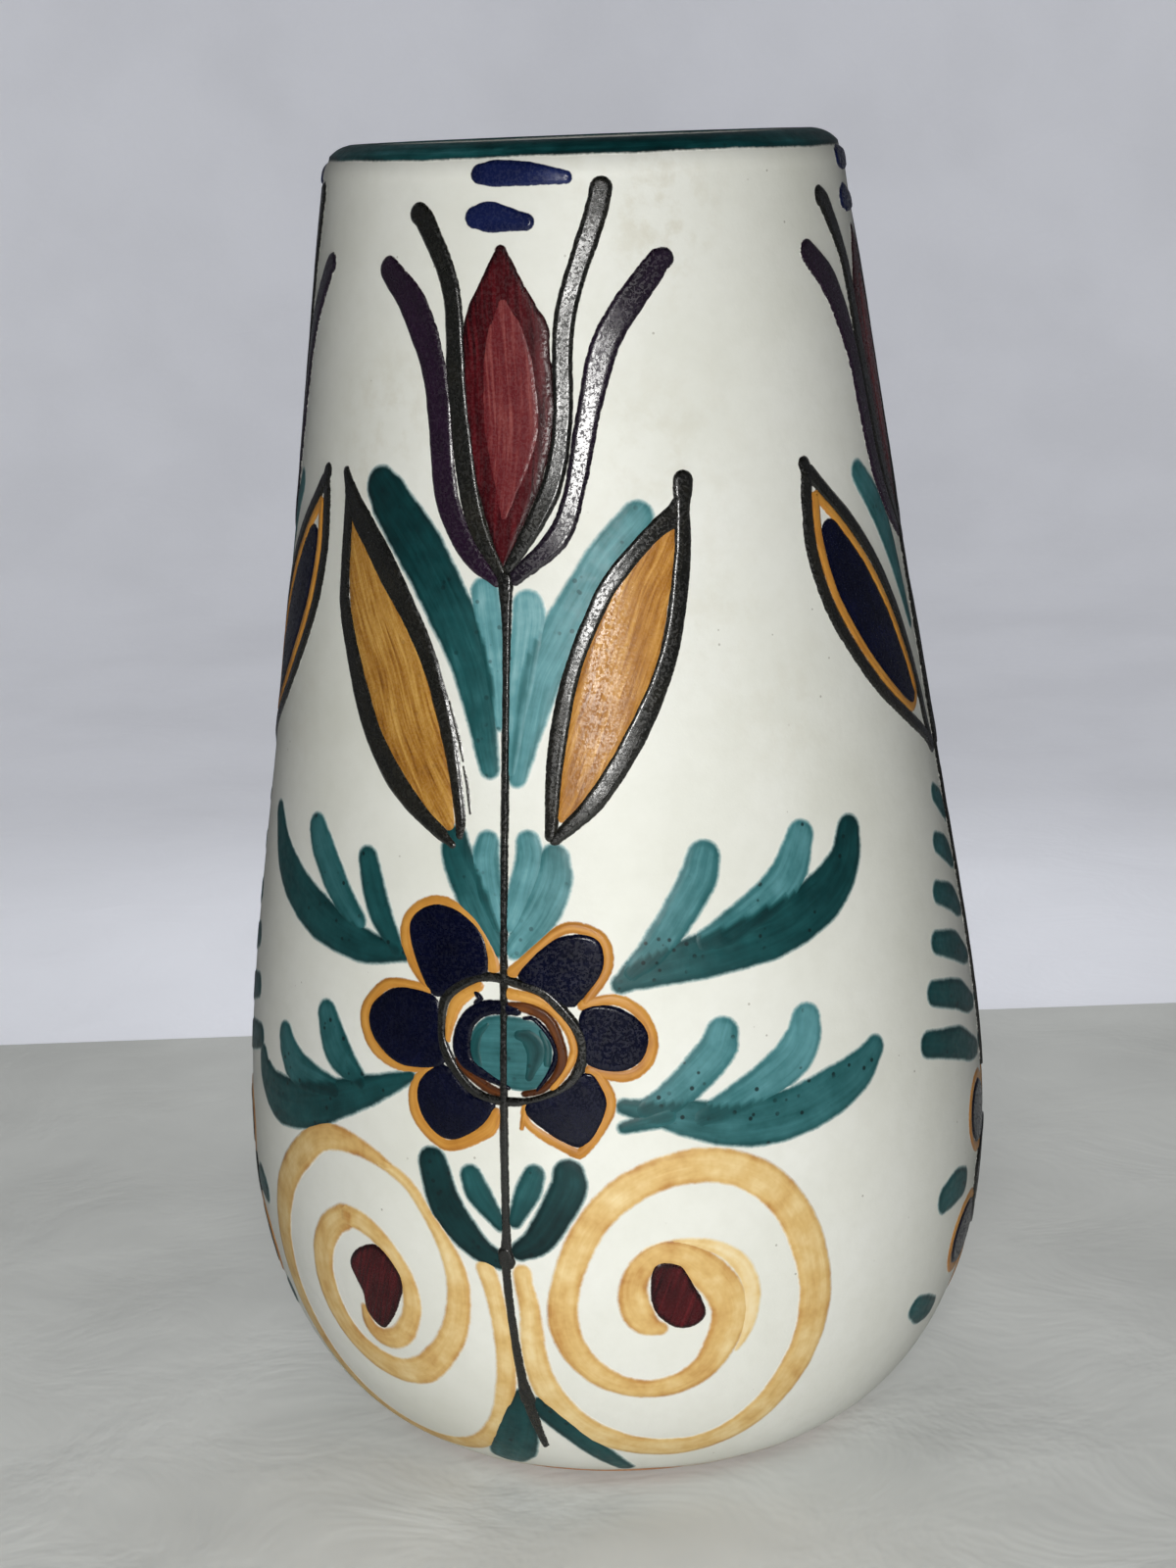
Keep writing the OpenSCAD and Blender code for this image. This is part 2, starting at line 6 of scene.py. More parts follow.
import bpy
import numpy as np
from mathutils import Matrix, Vector


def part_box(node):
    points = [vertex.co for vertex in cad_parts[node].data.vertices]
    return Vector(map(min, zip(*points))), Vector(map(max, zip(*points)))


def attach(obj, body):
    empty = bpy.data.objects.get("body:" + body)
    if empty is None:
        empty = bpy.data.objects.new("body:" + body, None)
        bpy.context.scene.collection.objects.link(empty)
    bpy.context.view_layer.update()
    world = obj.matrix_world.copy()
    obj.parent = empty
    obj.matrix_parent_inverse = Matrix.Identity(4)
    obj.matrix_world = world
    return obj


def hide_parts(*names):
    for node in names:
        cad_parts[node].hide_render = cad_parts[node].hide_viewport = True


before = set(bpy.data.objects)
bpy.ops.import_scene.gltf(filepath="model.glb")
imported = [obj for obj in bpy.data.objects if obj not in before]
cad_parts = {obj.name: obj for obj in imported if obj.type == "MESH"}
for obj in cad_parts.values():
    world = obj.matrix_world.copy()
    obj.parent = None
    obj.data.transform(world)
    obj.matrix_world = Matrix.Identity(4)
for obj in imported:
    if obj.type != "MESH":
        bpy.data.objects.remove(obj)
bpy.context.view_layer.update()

HIGH = 210.0
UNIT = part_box("outer_glaze")[1].z / HIGH
BELLY_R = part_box("outer_glaze")[1].x / UNIT
FOOT_R, MOUTH_R, BELLY_H, LIP, INNER_LIP = 35.5, 41.0, 49.0, 5.2, 1.4
FULL_T, GLAZE_T, FLOOR_TOP, FOOT_RING, FOOT_HOLLOW = 6.6, 0.8, 9.8, 7.0, 2.5
NECK_H = HIGH - LIP
LIP_R = MOUTH_R - LIP


# ---------------------------------------------------------------- the thrown wall

def curve(p, t):
    p, t = np.array(p, float), t[:, None]
    at = (1 - t) ** 3 * p[0] + 3 * t * (1 - t) ** 2 * p[1] + 3 * t * t * (1 - t) * p[2] + t ** 3 * p[3]
    way = (1 - t) ** 2 * (p[1] - p[0]) + 2 * t * (1 - t) * (p[2] - p[1]) + t * t * (p[3] - p[2])
    return at, way / np.linalg.norm(way, axis=1)[:, None]


RISE, DRAW = NECK_H - BELLY_H, BELLY_R - MOUTH_R
BOWL = [(FOOT_R, 0), (FOOT_R + 0.36 * (BELLY_R - FOOT_R), 0), (BELLY_R, 0.3 * BELLY_H), (BELLY_R, BELLY_H)]
TAPER = [(BELLY_R, BELLY_H), (BELLY_R, BELLY_H + 0.2 * RISE), (MOUTH_R + 0.69 * DRAW, NECK_H - 0.69 * RISE),
         (MOUTH_R, NECK_H)]
T = np.linspace(0, 1, 240)
(b_at, b_way), (t_at, t_way) = curve(BOWL, T), curve(TAPER, T[1:])
turn = np.radians(np.linspace(0, 84, 30)[1:])
round_at = np.stack([LIP_R + LIP * np.cos(turn), NECK_H + LIP * np.sin(turn)], 1)
round_way = np.stack([-np.sin(turn), np.cos(turn)], 1)
WALL = np.concatenate([b_at, t_at, round_at])
WAY = np.concatenate([b_way, t_way, round_way])
WALL_Z, WALL_R, OUT_R, OUT_Z = WALL[:, 1], WALL[:, 0], WAY[:, 1], -WAY[:, 0]


def wall_r(z):
    return np.interp(z, WALL_Z, WALL_R)


def out_r(z):
    return np.interp(z, WALL_Z, OUT_R)


def out_z(z):
    return np.interp(z, WALL_Z, OUT_Z)


def per_degree(z):
    return wall_r(z) * math.pi / 180


def wall_point(z, d):
    """Radius and height of a point d outside the glaze."""
    return wall_r(z) + d * out_r(z), z + d * out_z(z)


def turned(r, z, a):
    """Radius, height and angle from the front as points in space."""
    return np.stack([r * np.sin(a), -r * np.cos(a), z], -1)


def wobble(a, z):
    """What the potter's hands left: a slightly oval body and faint throwing rings."""
    fade = np.clip(z / 14, 0, 1) * np.clip((HIGH - z) / 12, 0, 1)
    hand = 0.09 * np.sin(2 * a + 0.7 + z * 0.008) + 0.05 * np.sin(3 * a - z * 0.021)
    rings = 0.007 * np.sin(z * 0.83 + 0.9 * np.sin(a)) + 0.004 * np.sin(z * 1.9 - a)
    return fade * (hand + rings)


def on_wall(deg, z, lift):
    """Points on the glaze, lifted along its normal, in millimetres."""
    a = np.radians(deg)
    return turned(wall_r(z) + wobble(a, z) + lift * out_r(z), z + lift * out_z(z), a)


def smoothstep(x):
    x = np.clip(x, 0, 1)
    return x * x * (3 - 2 * x)


def waver(s, seed, size=1.0):
    return (np.sin(s / (1.9 * size) + seed * 2.1) + 0.7 * np.sin(s / (0.83 * size) + seed * 5.3)
            + 0.45 * np.sin(s / (0.41 * size) + seed * 9.7)) / 2.15


def merged(ids):
    """Which points of a grid are kept, and the grid numbered anew, after some were made one."""
    keep, new = np.unique(ids, return_inverse=True)
    return keep, new.reshape(ids.shape)


def ring_faces(ids, closed=False):
    """Faces between the rows of a grid of points, each row a closed ring."""
    ahead = np.roll(ids, -1, 0) if closed else ids[1:]
    return [face for a, b in zip(ids, ahead) for face in zip(a, np.roll(a, -1), np.roll(b, -1), b)]


def whole(faces, first=0):
    """Drops the faces that merged points have folded up, and numbers the rest from first."""
    faces = [tuple(int(v) + first for v in dict.fromkeys(face)) for face in faces]
    return [face for face in faces if len(face) > 2]


# ---------------------------------------------------------------- brush strokes

STEP = 0.55       # length of a stroke's mesh faces
SIDES = 13        # columns across a stroke
CAP_ROWS = 6      # rows in a stroke's round end


class Enamel:
    """The strokes of one piece, gathered as vertices, faces and brush marks."""

    def __init__(self, lift, soft, rise, ridge):
        self.lift, self.soft, self.rise, self.ridge = lift, soft, rise, ridge
        self.verts, self.faces, self.marks, self.laid = [], [], [], []
        self.count, self.seed = 0, 0

    def add(self, points, faces, *marks):
        """The marks at each point are along, across, seed, edge, load and tone."""
        self.verts.append(points)
        self.marks.append(np.stack([m.ravel() for m in np.broadcast_arrays(*marks)], 1))
        self.faces += whole(faces, self.count)
        self.count += len(points)

    def height(self, e, half, lift, wave):
        rise = np.minimum(self.rise, 0.75 * half)
        up = smoothstep(e / rise)
        base = -0.05 + 0.07 * np.clip((e + self.soft) / (0.35 * self.soft), 0, 1)
        ridge = self.ridge * np.exp(-((e - 0.6) / 0.4) ** 2)
        return base + lift * up * (0.9 + ridge + 0.05 * wave)

    def under(self, deg, z):
        """How far each point lies over paint that this piece already holds, and how heavy that paint is."""
        over, below = np.zeros(deg.shape), np.zeros(deg.shape)
        for d0, z0, half, load in self.laid:
            k = per_degree(z0.mean())
            gap = np.hypot((deg[..., None] - d0) * k, (z[..., None] - z0)) - half
            near = smoothstep(-gap.min(-1) / 0.5)
            over, below = np.maximum(over, near), np.maximum(below, near * load[gap.argmin(-1)])
        return over, below

    def stroke(self, places, load, tone, lift, loop, turn):
        """One pull of the brush along the places, with its load of paint at the start and the end."""
        self.seed += 1
        seed = self.seed + turn * 0.01
        p = smooth_path(places, loop)
        mid = (p[1:, 1] + p[:-1, 1]) / 2
        gaps = np.hypot(np.diff(p[:, 0]) * per_degree(mid), np.diff(p[:, 1]) / out_r(mid))
        q, s, length = spaced(p, gaps, 5, 1, loop)
        n = len(q)
        d = np.roll(q, -1, 0) - np.roll(q, 1, 0) if loop else np.gradient(q, axis=0)
        if loop:
            d[:, 0] = (d[:, 0] + 180) % 360 - 180
        way = np.stack([d[:, 0] * per_degree(q[:, 1]), d[:, 1] / out_r(q[:, 1])], 1)
        way /= np.linalg.norm(way, axis=1)[:, None]
        half = np.maximum(q[:, 2] / 2 * (1 + 0.035 * waver(s, seed)) + 0.03 * waver(s, seed + 3, 0.5), 0.12)
        at, ahead, end, reach = np.arange(n), np.zeros(n), half.copy(), half + self.soft
        if not loop:
            caps = np.radians(np.linspace(0, 90, CAP_ROWS + 1)[1:])
            for sign, i in ((-1, 0), (1, n - 1)):
                r = half[i] + self.soft
                extra = [np.full(CAP_ROWS, i), sign * r * np.sin(caps), np.full(CAP_ROWS, half[i]), r * np.cos(caps)]
                if sign < 0:
                    extra = [e[::-1] for e in extra]
                at, ahead, end, reach = [np.concatenate([e, v] if sign < 0 else [v, e])
                                         for e, v in zip(extra, (at, ahead, end, reach))]
        t = np.linspace(-1, 1, SIDES)
        side = np.sign(t) * (1 - (1 - np.abs(t)) ** 1.6)
        across = reach[:, None] * side[None, :]
        e = end[:, None] - np.hypot(ahead[:, None], across)
        c, v = q[at], way[at]
        z0 = c[:, 1:2]
        deg = c[:, 0:1] + (v[:, :1] * ahead[:, None] - v[:, 1:] * across) / per_degree(z0)
        z = z0 + (v[:, 1:] * ahead[:, None] + v[:, :1] * across) * out_r(z0)
        along = (s[at] + ahead)[:, None] + 0 * across
        wave = waver(across * 1.7 + 0.4 * np.sin(along / 7), seed) + 0.5 * waver(along + across, seed + 1)
        over, below = self.under(deg, z)
        h = self.height(e, np.maximum(end, 0.2)[:, None], self.lift + lift + 0.012 * (self.seed % 5), wave)
        h = h + 0.05 * over * smoothstep(e / 0.3)
        share = np.clip(along / max(s[-1], 1e-6), 0, 1)
        heavy = load[0] + (load[1] - load[0]) * share
        if not tone:
            heavy = np.maximum(heavy, below) + 0.14 * over * smoothstep(e / 1.4)
        rows = len(at)
        ids = np.arange(rows * SIDES).reshape(rows, SIDES)
        if not loop:
            ids[0, :], ids[-1, :] = ids[0, 0], ids[-1, 0]
        keep, ids = merged(ids)
        faces = []
        for a, b in zip(ids, np.roll(ids, -1, 0) if loop else ids[1:]):
            faces += [*zip(a, b, b[1:], a[1:]), (a[0], a[-1], b[-1], b[0])]
        flat = lambda m: (m + 0 * across).ravel()[keep]
        self.add(on_wall(flat(deg), flat(z), flat(h)), faces,
                 flat(along), flat(across), seed, flat(e + 1.2 * over), flat(heavy), tone)
        self.laid.append((q[::2, 0], q[::2, 1], half[::2], load[0] + (load[1] - load[0]) * s[::2] / length))

    def blob(self, places, load, lean, grow, turn):
        """A dab of paint inside a smooth closed edge."""
        self.seed += 1
        seed = self.seed + turn * 0.01
        p = smooth_path(places, True)
        mid = p[:-1].mean(0)
        k = float(per_degree(mid[1]))
        xy = np.stack([(p[:, 0] - mid[0]) * k, p[:, 1] - mid[1]], 1)
        xy, s, _ = spaced(xy, np.linalg.norm(np.diff(xy, axis=0), axis=1), 14, 0, True)
        if np.sum(xy[:, 0] * np.roll(xy[:, 1], -1) - xy[:, 1] * np.roll(xy[:, 0], -1)) < 0:
            xy = xy[::-1]
        far = np.linalg.norm(xy, axis=1)
        far_out = far + grow + 0.06 * waver(s, seed, 0.6)
        xy = xy * (far_out / far)[:, None]
        rings = [1 + self.soft / far_out.mean(), 1.0, 0.97, 0.93, 0.87, 0.78, 0.64, 0.46, 0.24]
        f, deep = np.array(rings)[:, None], far_out.mean()
        x, y = [np.append((f * v).ravel(), (0, 0)) for v in xy.T]
        e = np.append(((1 - f) * far_out).ravel(), (deep, deep))
        c, sn = math.cos(math.radians(lean)), math.sin(math.radians(lean))
        along, across = c * x + sn * y, c * y - sn * x
        wave = waver(across * 1.4, seed) + 0.6 * waver(along + across * 0.5, seed + 1)
        h = self.height(e, deep, self.lift, wave)
        h[-1] = -0.3     # the last point closes the dab inside the glaze
        m = len(h) - 2
        ids = np.arange(m).reshape(len(rings), -1)
        faces = ring_faces(ids) + [(a, b, m) for a, b in zip(ids[-1], np.roll(ids[-1], -1))]
        faces += [(b, a, m + 1) for a, b in zip(ids[0], np.roll(ids[0], -1))]
        self.add(on_wall(mid[0] + x / k, mid[1] + y, h), faces, along, across, seed, e, load, 0)
        self.laid.append((mid[0] + xy[::3, 0] * 0.5 / k, mid[1] + xy[::3, 1] * 0.5, far[::3] * 0.5,
                          np.full(len(far[::3]), load)))

    def piece(self, name, node, slot, look):
        marks = np.concatenate(self.marks)
        make_piece(name, np.concatenate(self.verts), self.faces, look, slot, [node],
                   brush=marks[:, :3], paint=marks[:, 3:])


def smooth_path(places, loop=False, steps=10):
    """A curve through places of three numbers; the last is the stroke's width in mm."""
    p = np.array(places, float)
    if loop:
        p = np.concatenate([p[-1:], p, p[:2]])
    else:
        p = np.concatenate([2 * p[:1] - p[1:2], p, 2 * p[-1:] - p[-2:-1]])
    t = (np.arange(steps) / steps)[:, None]
    out = []
    for a, b, c, d in zip(p, p[1:], p[2:], p[3:]):
        out.append((2 * b + (c - a) * t + (2 * a - 5 * b + 4 * c - d) * t * t
                    + (3 * b - a - 3 * c + d) * t ** 3) / 2)
    out = np.concatenate(out + [p[-2:-1]])
    out[:, 2] = np.maximum(out[:, 2], 0.25)
    return out


def spaced(p, gaps, least, extra, closed):
    """Points at even steps along p, how far along each is, and p's length; gaps lie between p's own points."""
    run = np.concatenate([[0], np.cumsum(gaps)])
    n = max(least, int(run[-1] / STEP) + extra)
    s = np.linspace(0, run[-1], n + closed)[:n]
    return np.stack([np.interp(s, run, column) for column in p.T], 1), s, run[-1]


def new_object(name, data):
    o = bpy.data.objects.new(name, data)
    bpy.context.scene.collection.objects.link(o)
    return o


def make_piece(name, points, faces, look, slot, nodes, **marks):
    mesh = bpy.data.meshes.new(name)
    mesh.from_pydata((points * UNIT).tolist(), [], faces)
    for mark, values in marks.items():
        layer = mesh.attributes.new(mark, "FLOAT_VECTOR", "POINT")
        layer.data.foreach_set("vector", np.asarray(values, np.float32).ravel())
    mesh.validate()
    mesh.polygons.foreach_set("use_smooth", [True] * len(mesh.polygons))
    mesh.materials.append(look)
    piece = new_object(name, mesh)
    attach(piece, "root")
    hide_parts(*nodes)


# ---------------------------------------------------------------- materials

def srgb(r, g, b):
    return tuple((v / 255 / 12.92) if v < 10.3 else ((v / 255 + 0.055) / 1.055) ** 2.4 for v in (r, g, b)) + (1.0,)


class Shader:
    """Small helper that builds one Principled material node by node."""

    def __init__(self, name):
        self.material = bpy.data.materials.new(name)
        self.material.use_nodes = True
        self.tree = self.material.node_tree
        self.bsdf = self.tree.nodes["Principled BSDF"]
        where = self.node("ShaderNodeTexCoord")
        self.place = self.vector("SCALE", where.outputs["Object"], scale=1 / UNIT)

    def node(self, kind, inputs=(), **settings):
        """A node of this kind; inputs are pairs of a socket's number or name and what goes in."""
        n = self.tree.nodes.new(kind)
        for k, v in settings.items():
            setattr(n, k, v)
        for k, v in inputs:
            if v is not None:
                self.put(n.inputs[k], v)
        return n

    def put(self, socket, value):
        if isinstance(value, bpy.types.NodeSocket):
            self.tree.links.new(value, socket)
        else:
            socket.default_value = value

    def math(self, op, a, b=None, c=None, clamp=False):
        return self.node("ShaderNodeMath", enumerate((a, b, c)), operation=op, use_clamp=clamp).outputs[0]

    def times(self, a, b):
        return self.math("MULTIPLY", a, b)

    def vector(self, op, a, b=None, scale=None):
        return self.node("ShaderNodeVectorMath", ((0, a), (1, b), ("Scale", scale)), operation=op).outputs[0]

    def span(self, v, a, b, c=0.0, d=1.0):
        """Runs v from c to d, smoothly, as it goes from a to b."""
        n = self.node("ShaderNodeMapRange", enumerate((v, a, b, c, d)), interpolation_type="SMOOTHSTEP")
        return n.outputs[0]

    def noise(self, where, scale, detail=2.0, rough=0.5, twist=0.0):
        n = self.node("ShaderNodeTexNoise", (("Vector", where), ("Scale", scale), ("Detail", detail),
                                             ("Roughness", rough), ("Distortion", twist)))
        return n.outputs["Fac"]

    def cells(self, where, scale):
        return self.node("ShaderNodeTexVoronoi", (("Vector", where), ("Scale", scale))).outputs["Distance"]

    def mix(self, f, a, b):
        return self.node("ShaderNodeMix", ((0, f), (6, a), (7, b)), data_type="RGBA").outputs[2]

    def ramp(self, f, stops):
        n = self.node("ShaderNodeValToRGB", ((0, f),))
        bar = n.color_ramp.elements
        bar[0].position, bar[0].color = stops[0][0], srgb(*stops[0][1])
        bar[1].position, bar[1].color = stops[-1][0], srgb(*stops[-1][1])
        for at, colour in stops[1:-1]:
            bar.new(at).color = srgb(*colour)
        return n.outputs[0]

    def mark(self, name):
        """The three numbers that a mesh carries under this name."""
        n = self.node("ShaderNodeAttribute", attribute_name=name)
        return self.node("ShaderNodeSeparateXYZ", ((0, n.outputs["Vector"]),)).outputs

    def combine(self, x, y, z):
        return self.node("ShaderNodeCombineXYZ", enumerate((x, y, z))).outputs[0]

    def bump(self, height, strength, distance, under=None):
        n = self.node("ShaderNodeBump", (("Strength", strength), ("Distance", distance * UNIT), ("Height", height),
                                         ("Normal", under)))
        return n.outputs[0]

    def finish(self, colour, rough, normal, gloss=0.5):
        for k, v in (("Base Color", colour), ("Roughness", rough), ("Normal", normal), ("Specular IOR Level", gloss)):
            self.put(self.bsdf.inputs[k], v)
        return self.material


def glaze_colour(s):
    """Tin white, faintly greenish, with soft clouds where it lies thin."""
    cloud = s.noise(s.place, 0.035, 3, 0.55)
    fine = s.noise(s.place, 0.35, 3, 0.6)
    white = s.ramp(cloud, [(0.25, (222, 223, 213)), (0.5, (231, 232, 224)), (0.75, (236, 237, 231))])
    return s.mix(s.span(fine, 0.35, 0.75, 0, 0.16), white, srgb(214, 214, 203))


def glaze_material():
    s = Shader("satin_tin_glaze")
    colour = glaze_colour(s)
    stain, thin, _ = s.mark("marks")
    blotch = s.noise(s.place, 0.22, 4, 0.65)
    grime = s.times(stain, s.span(blotch, 0.42, 0.68))
    colour = s.mix(s.times(grime, 0.36), colour, srgb(196, 188, 164))
    dots = s.math("LESS_THAN", s.cells(s.place, 0.28), 0.055)
    few = s.span(s.noise(s.place, 0.06, 1), 0.5, 0.62)
    colour = s.mix(s.times(s.times(dots, few), 0.5), colour, srgb(120, 112, 92))
    colour = s.mix(s.times(thin, s.span(blotch, 0.3, 0.6, 0.35, 0.9)), colour, srgb(196, 172, 140))
    peel = s.noise(s.place, 0.55, 3, 0.6)
    grain = s.noise(s.place, 3.2, 2, 0.6)
    pits = s.span(s.cells(s.place, 0.5), 0.0, 0.14, 0, 1)
    normal = s.bump(peel, 0.35, 0.12)
    normal = s.bump(grain, 0.25, 0.03, normal)
    normal = s.bump(pits, 0.2, 0.05, normal)
    rough = s.span(s.noise(s.place, 0.09, 4, 0.6), 0.3, 0.7, 0.4, 0.54)
    return s.finish(colour, rough, normal, gloss=0.35)


def clay_material():
    s = Shader("fired_earthenware")
    body = s.noise(s.place, 0.12, 4, 0.6)
    colour = s.ramp(body, [(0.25, (168, 118, 84)), (0.5, (186, 137, 101)), (0.8, (203, 160, 124))])
    grit = s.noise(s.place, 2.4, 3, 0.7)
    colour = s.mix(s.span(grit, 0.55, 0.75, 0, 0.4), colour, srgb(122, 82, 58))
    sand = s.math("LESS_THAN", s.cells(s.place, 1.1), 0.16)
    colour = s.mix(s.times(sand, 0.55), colour, srgb(222, 200, 172))
    radius = s.vector("LENGTH", s.vector("MULTIPLY", s.place, (1, 1, 0)))
    radius = radius.node.outputs["Value"]
    rings = s.math("SINE", s.times(s.math("ADD", radius, s.times(body, 0.6)), 4.1))
    normal = s.bump(rings, 0.25, 0.12)
    normal = s.bump(grit, 0.5, 0.12, normal)
    return s.finish(colour, s.span(grit, 0.3, 0.7, 0.72, 0.92), normal)


def enamel_material(name, stops, edge=(-0.1, 0.1), streak=0.3, fine=1.6, pool=0.05, speck=0.0,
                    speck_colour=(6, 26, 28), rough=(0.36, 0.48), grain=0.14, gloss=0.4, pitted=0.0, tint=None,
                    ragged=0.2, blotch=0.25, halo=None):
    """Brushed enamel: streaks along the brush, paint pooled at the edges, worn thin between."""
    s = Shader(name)
    along, across, seed = s.mark("brush")
    edge_mm, load, tone = s.mark("paint")
    bristles = s.combine(s.times(along, 0.09), s.times(across, fine), s.times(seed, 3.7))     # long and narrow
    hair = s.noise(bristles, 1.0, 3, 0.6, 0.3)
    cloud = s.noise(s.place, 0.22, 3, 0.6)
    t = s.math("MULTIPLY_ADD", s.math("SUBTRACT", hair, 0.5), streak * 2, load)
    t = s.math("MULTIPLY_ADD", s.math("SUBTRACT", cloud, 0.5), blotch * 2, t)
    t = s.math("MULTIPLY_ADD", s.span(edge_mm, 0.1, 1.1, 1, 0), pool, t, clamp=True)
    colour = s.ramp(t, stops)
    if tint:
        colour = s.mix(tone, colour, s.ramp(t, tint))
    if speck:
        dots = s.span(s.cells(s.place, 0.55), 0.14, 0.24, 1, 0)
        few = s.span(s.noise(s.place, 0.17, 2), 0.46, 0.56)
        colour = s.mix(s.times(s.times(dots, few), speck), colour, srgb(*speck_colour))
    nibble = s.noise(s.place, 1.5, 3, 0.6)
    e = s.math("MULTIPLY_ADD", s.math("SUBTRACT", nibble, 0.5), ragged * 2, edge_mm)
    cover = s.span(e, edge[0], edge[1])
    under = glaze_colour(s)
    if halo:
        under = s.mix(s.span(e, edge[0], edge[1] * 0.5), under, srgb(*halo))
    colour = s.mix(cover, under, colour)
    sand = s.noise(s.place, 1.7, 4, 0.85)
    normal = s.bump(sand, grain, 0.14)
    normal = s.bump(hair, 0.2, 0.06, normal)
    shine = s.span(s.noise(s.place, 0.7, 3, 0.6), 0.3, 0.7, rough[0], rough[1])
    if pitted:
        shine = s.math("MULTIPLY_ADD", s.span(s.noise(s.place, 2.2, 2, 0.7), 0.49, 0.58), pitted, shine)
    return s.finish(colour, shine, normal, gloss)


TEAL = [(0.0, (140, 186, 190)), (0.2, (94, 150, 156)), (0.4, (56, 112, 116)), (0.6, (26, 80, 82)),
        (0.8, (9, 54, 56)), (1.0, (3, 32, 34))]
SCROLL = [(0.0, (242, 226, 188)), (0.3, (232, 206, 150)), (0.55, (218, 182, 116)), (0.8, (196, 148, 82)),
          (1.0, (164, 106, 54))]
OCHRE = [(0.0, (214, 172, 98)), (0.35, (190, 146, 72)), (0.65, (160, 112, 44)), (1.0, (104, 60, 18))]
BORDER = [(0.0, (222, 172, 92)), (0.45, (194, 136, 58)), (0.75, (158, 100, 36)), (1.0, (104, 60, 22))]
NAVY = [(0.0, (40, 48, 96)), (0.35, (12, 18, 52)), (0.65, (4, 7, 32)), (1.0, (1, 2, 14))]
RED = [(0.0, (176, 96, 96)), (0.3, (128, 46, 50)), (0.55, (92, 22, 28)), (0.8, (62, 10, 16)), (1.0, (34, 4, 8))]
PLUM = [(0.0, (70, 46, 78)), (0.45, (32, 20, 40)), (0.75, (18, 11, 24)), (1.0, (8, 5, 12))]
INK = [(0.0, (78, 70, 48)), (0.35, (38, 35, 26)), (0.7, (19, 19, 15)), (1.0, (8, 8, 6))]
SPARKLING = dict(fine=1.8, rough=(0.15, 0.2), grain=0.16, gloss=1.0, pitted=0.3)


def tint(*colours):
    """The second colour of an enamel, from thin to heavy, that a stroke's tone brings in."""
    return list(zip((0.0, 0.5, 1.0), colours))


material = {
    "teal": enamel_material("teal_enamel", TEAL, edge=(-0.55, 0.25), streak=0.14, fine=1.0, pool=0.1, speck=0.9,
                            blotch=0.18, halo=(176, 212, 212)),
    "teal_thin": enamel_material("thin_teal_enamel", TEAL, edge=(-0.55, 0.3), streak=0.2, fine=1.2, pool=0.08,
                                 speck=0.5, blotch=0.2, halo=(176, 212, 214)),
    "scroll": enamel_material("pale_ochre_wash", SCROLL, edge=(-0.4, 0.25), streak=0.2, fine=0.9, pool=0.16,
                              blotch=0.5, rough=(0.4, 0.52), grain=0.1),
    "ochre": enamel_material("ochre_enamel", OCHRE, edge=(-0.3, 0.0), streak=0.8, speck=0.25, speck_colour=(96, 58, 26),
                             blotch=0.24, rough=(0.18, 0.24), gloss=0.5, pitted=0.5,
                             tint=tint((232, 172, 96), (180, 116, 46), (114, 62, 20))),
    "border": enamel_material("petal_line_ochre", BORDER, edge=(-0.2, 0.1), pool=0.12, rough=(0.28, 0.36), grain=0.2,
                              gloss=0.35),
    "band": enamel_material("flower_ochre", BORDER, edge=(-0.16, 0.14), streak=0.4, pool=0.12, rough=(0.26, 0.34),
                            grain=0.2, gloss=0.35, tint=tint((150, 92, 40), (88, 46, 16), (44, 20, 8))),
    # The navy's second, lighter blue is used only by the dashes: partly the dashes' own blue, partly a painted sheen of
    # lamp glare.
    "navy": enamel_material("navy_enamel", NAVY, streak=0.2, fine=1.2, rough=(0.14, 0.2), blotch=0.3, gloss=0.35,
                            pitted=0.35, tint=tint((56, 70, 124), (26, 38, 88), (12, 18, 56))),
    "red": enamel_material("crimson_enamel", RED, streak=0.5, fine=2.0, pool=0.25, rough=(0.18, 0.26), grain=0.2,
                           blotch=0.16, pitted=0.4, tint=tint((168, 96, 90), (104, 36, 40), (70, 16, 22))),
    "plum": enamel_material("plum_enamel", PLUM, ragged=0.32, tint=tint((84, 44, 84), (36, 14, 38), (14, 5, 16)),
                            **SPARKLING),
    "ink": enamel_material("brown_black_enamel", INK, **SPARKLING),
    "lip": enamel_material("lip_teal_enamel", TEAL, edge=(-0.25, 0.25), fine=1.2, pool=0.2, speck=0.5,
                           rough=(0.28, 0.38), grain=0.3),
}


# ---------------------------------------------------------------- lathe-turned pieces

def lathe(name, profile, columns, shape, look, slot, nodes, **marks):
    """A closed skin turned about the axis; profile is a closed run of (radius, height)."""
    p = np.array(profile, float)
    a = np.arange(columns) * 2 * math.pi / columns
    r, z = shape(p[:, 0][:, None] + 0 * a, p[:, 1][:, None] + 0 * a, a)
    ids = np.arange(r.size).reshape(r.shape)
    poles = p[:, 0] < 1e-6
    ids[poles] = ids[poles, :1]
    keep, ids = merged(ids)
    values = {k: f(r, z, a).reshape(-1, 3)[keep] for k, f in marks.items()}
    points = turned(r, z, a).reshape(-1, 3)[keep]
    make_piece(name, points, whole(ring_faces(ids, True)), look, slot, nodes, **values)


def beside(d, rows, start=0.0):
    """The outer wall from height start up to the neck, d outside the glaze."""
    return [wall_point(z, d) for z in np.linspace(start, NECK_H, rows)]


def arc(r, z, size, first, last, steps):
    return [(r + size * math.cos(a), z + size * math.sin(a)) for a in np.radians(np.linspace(first, last, steps))]


def lip_round(d, first, last, steps):
    return arc(LIP_R, NECK_H, LIP + d, first, last, steps)


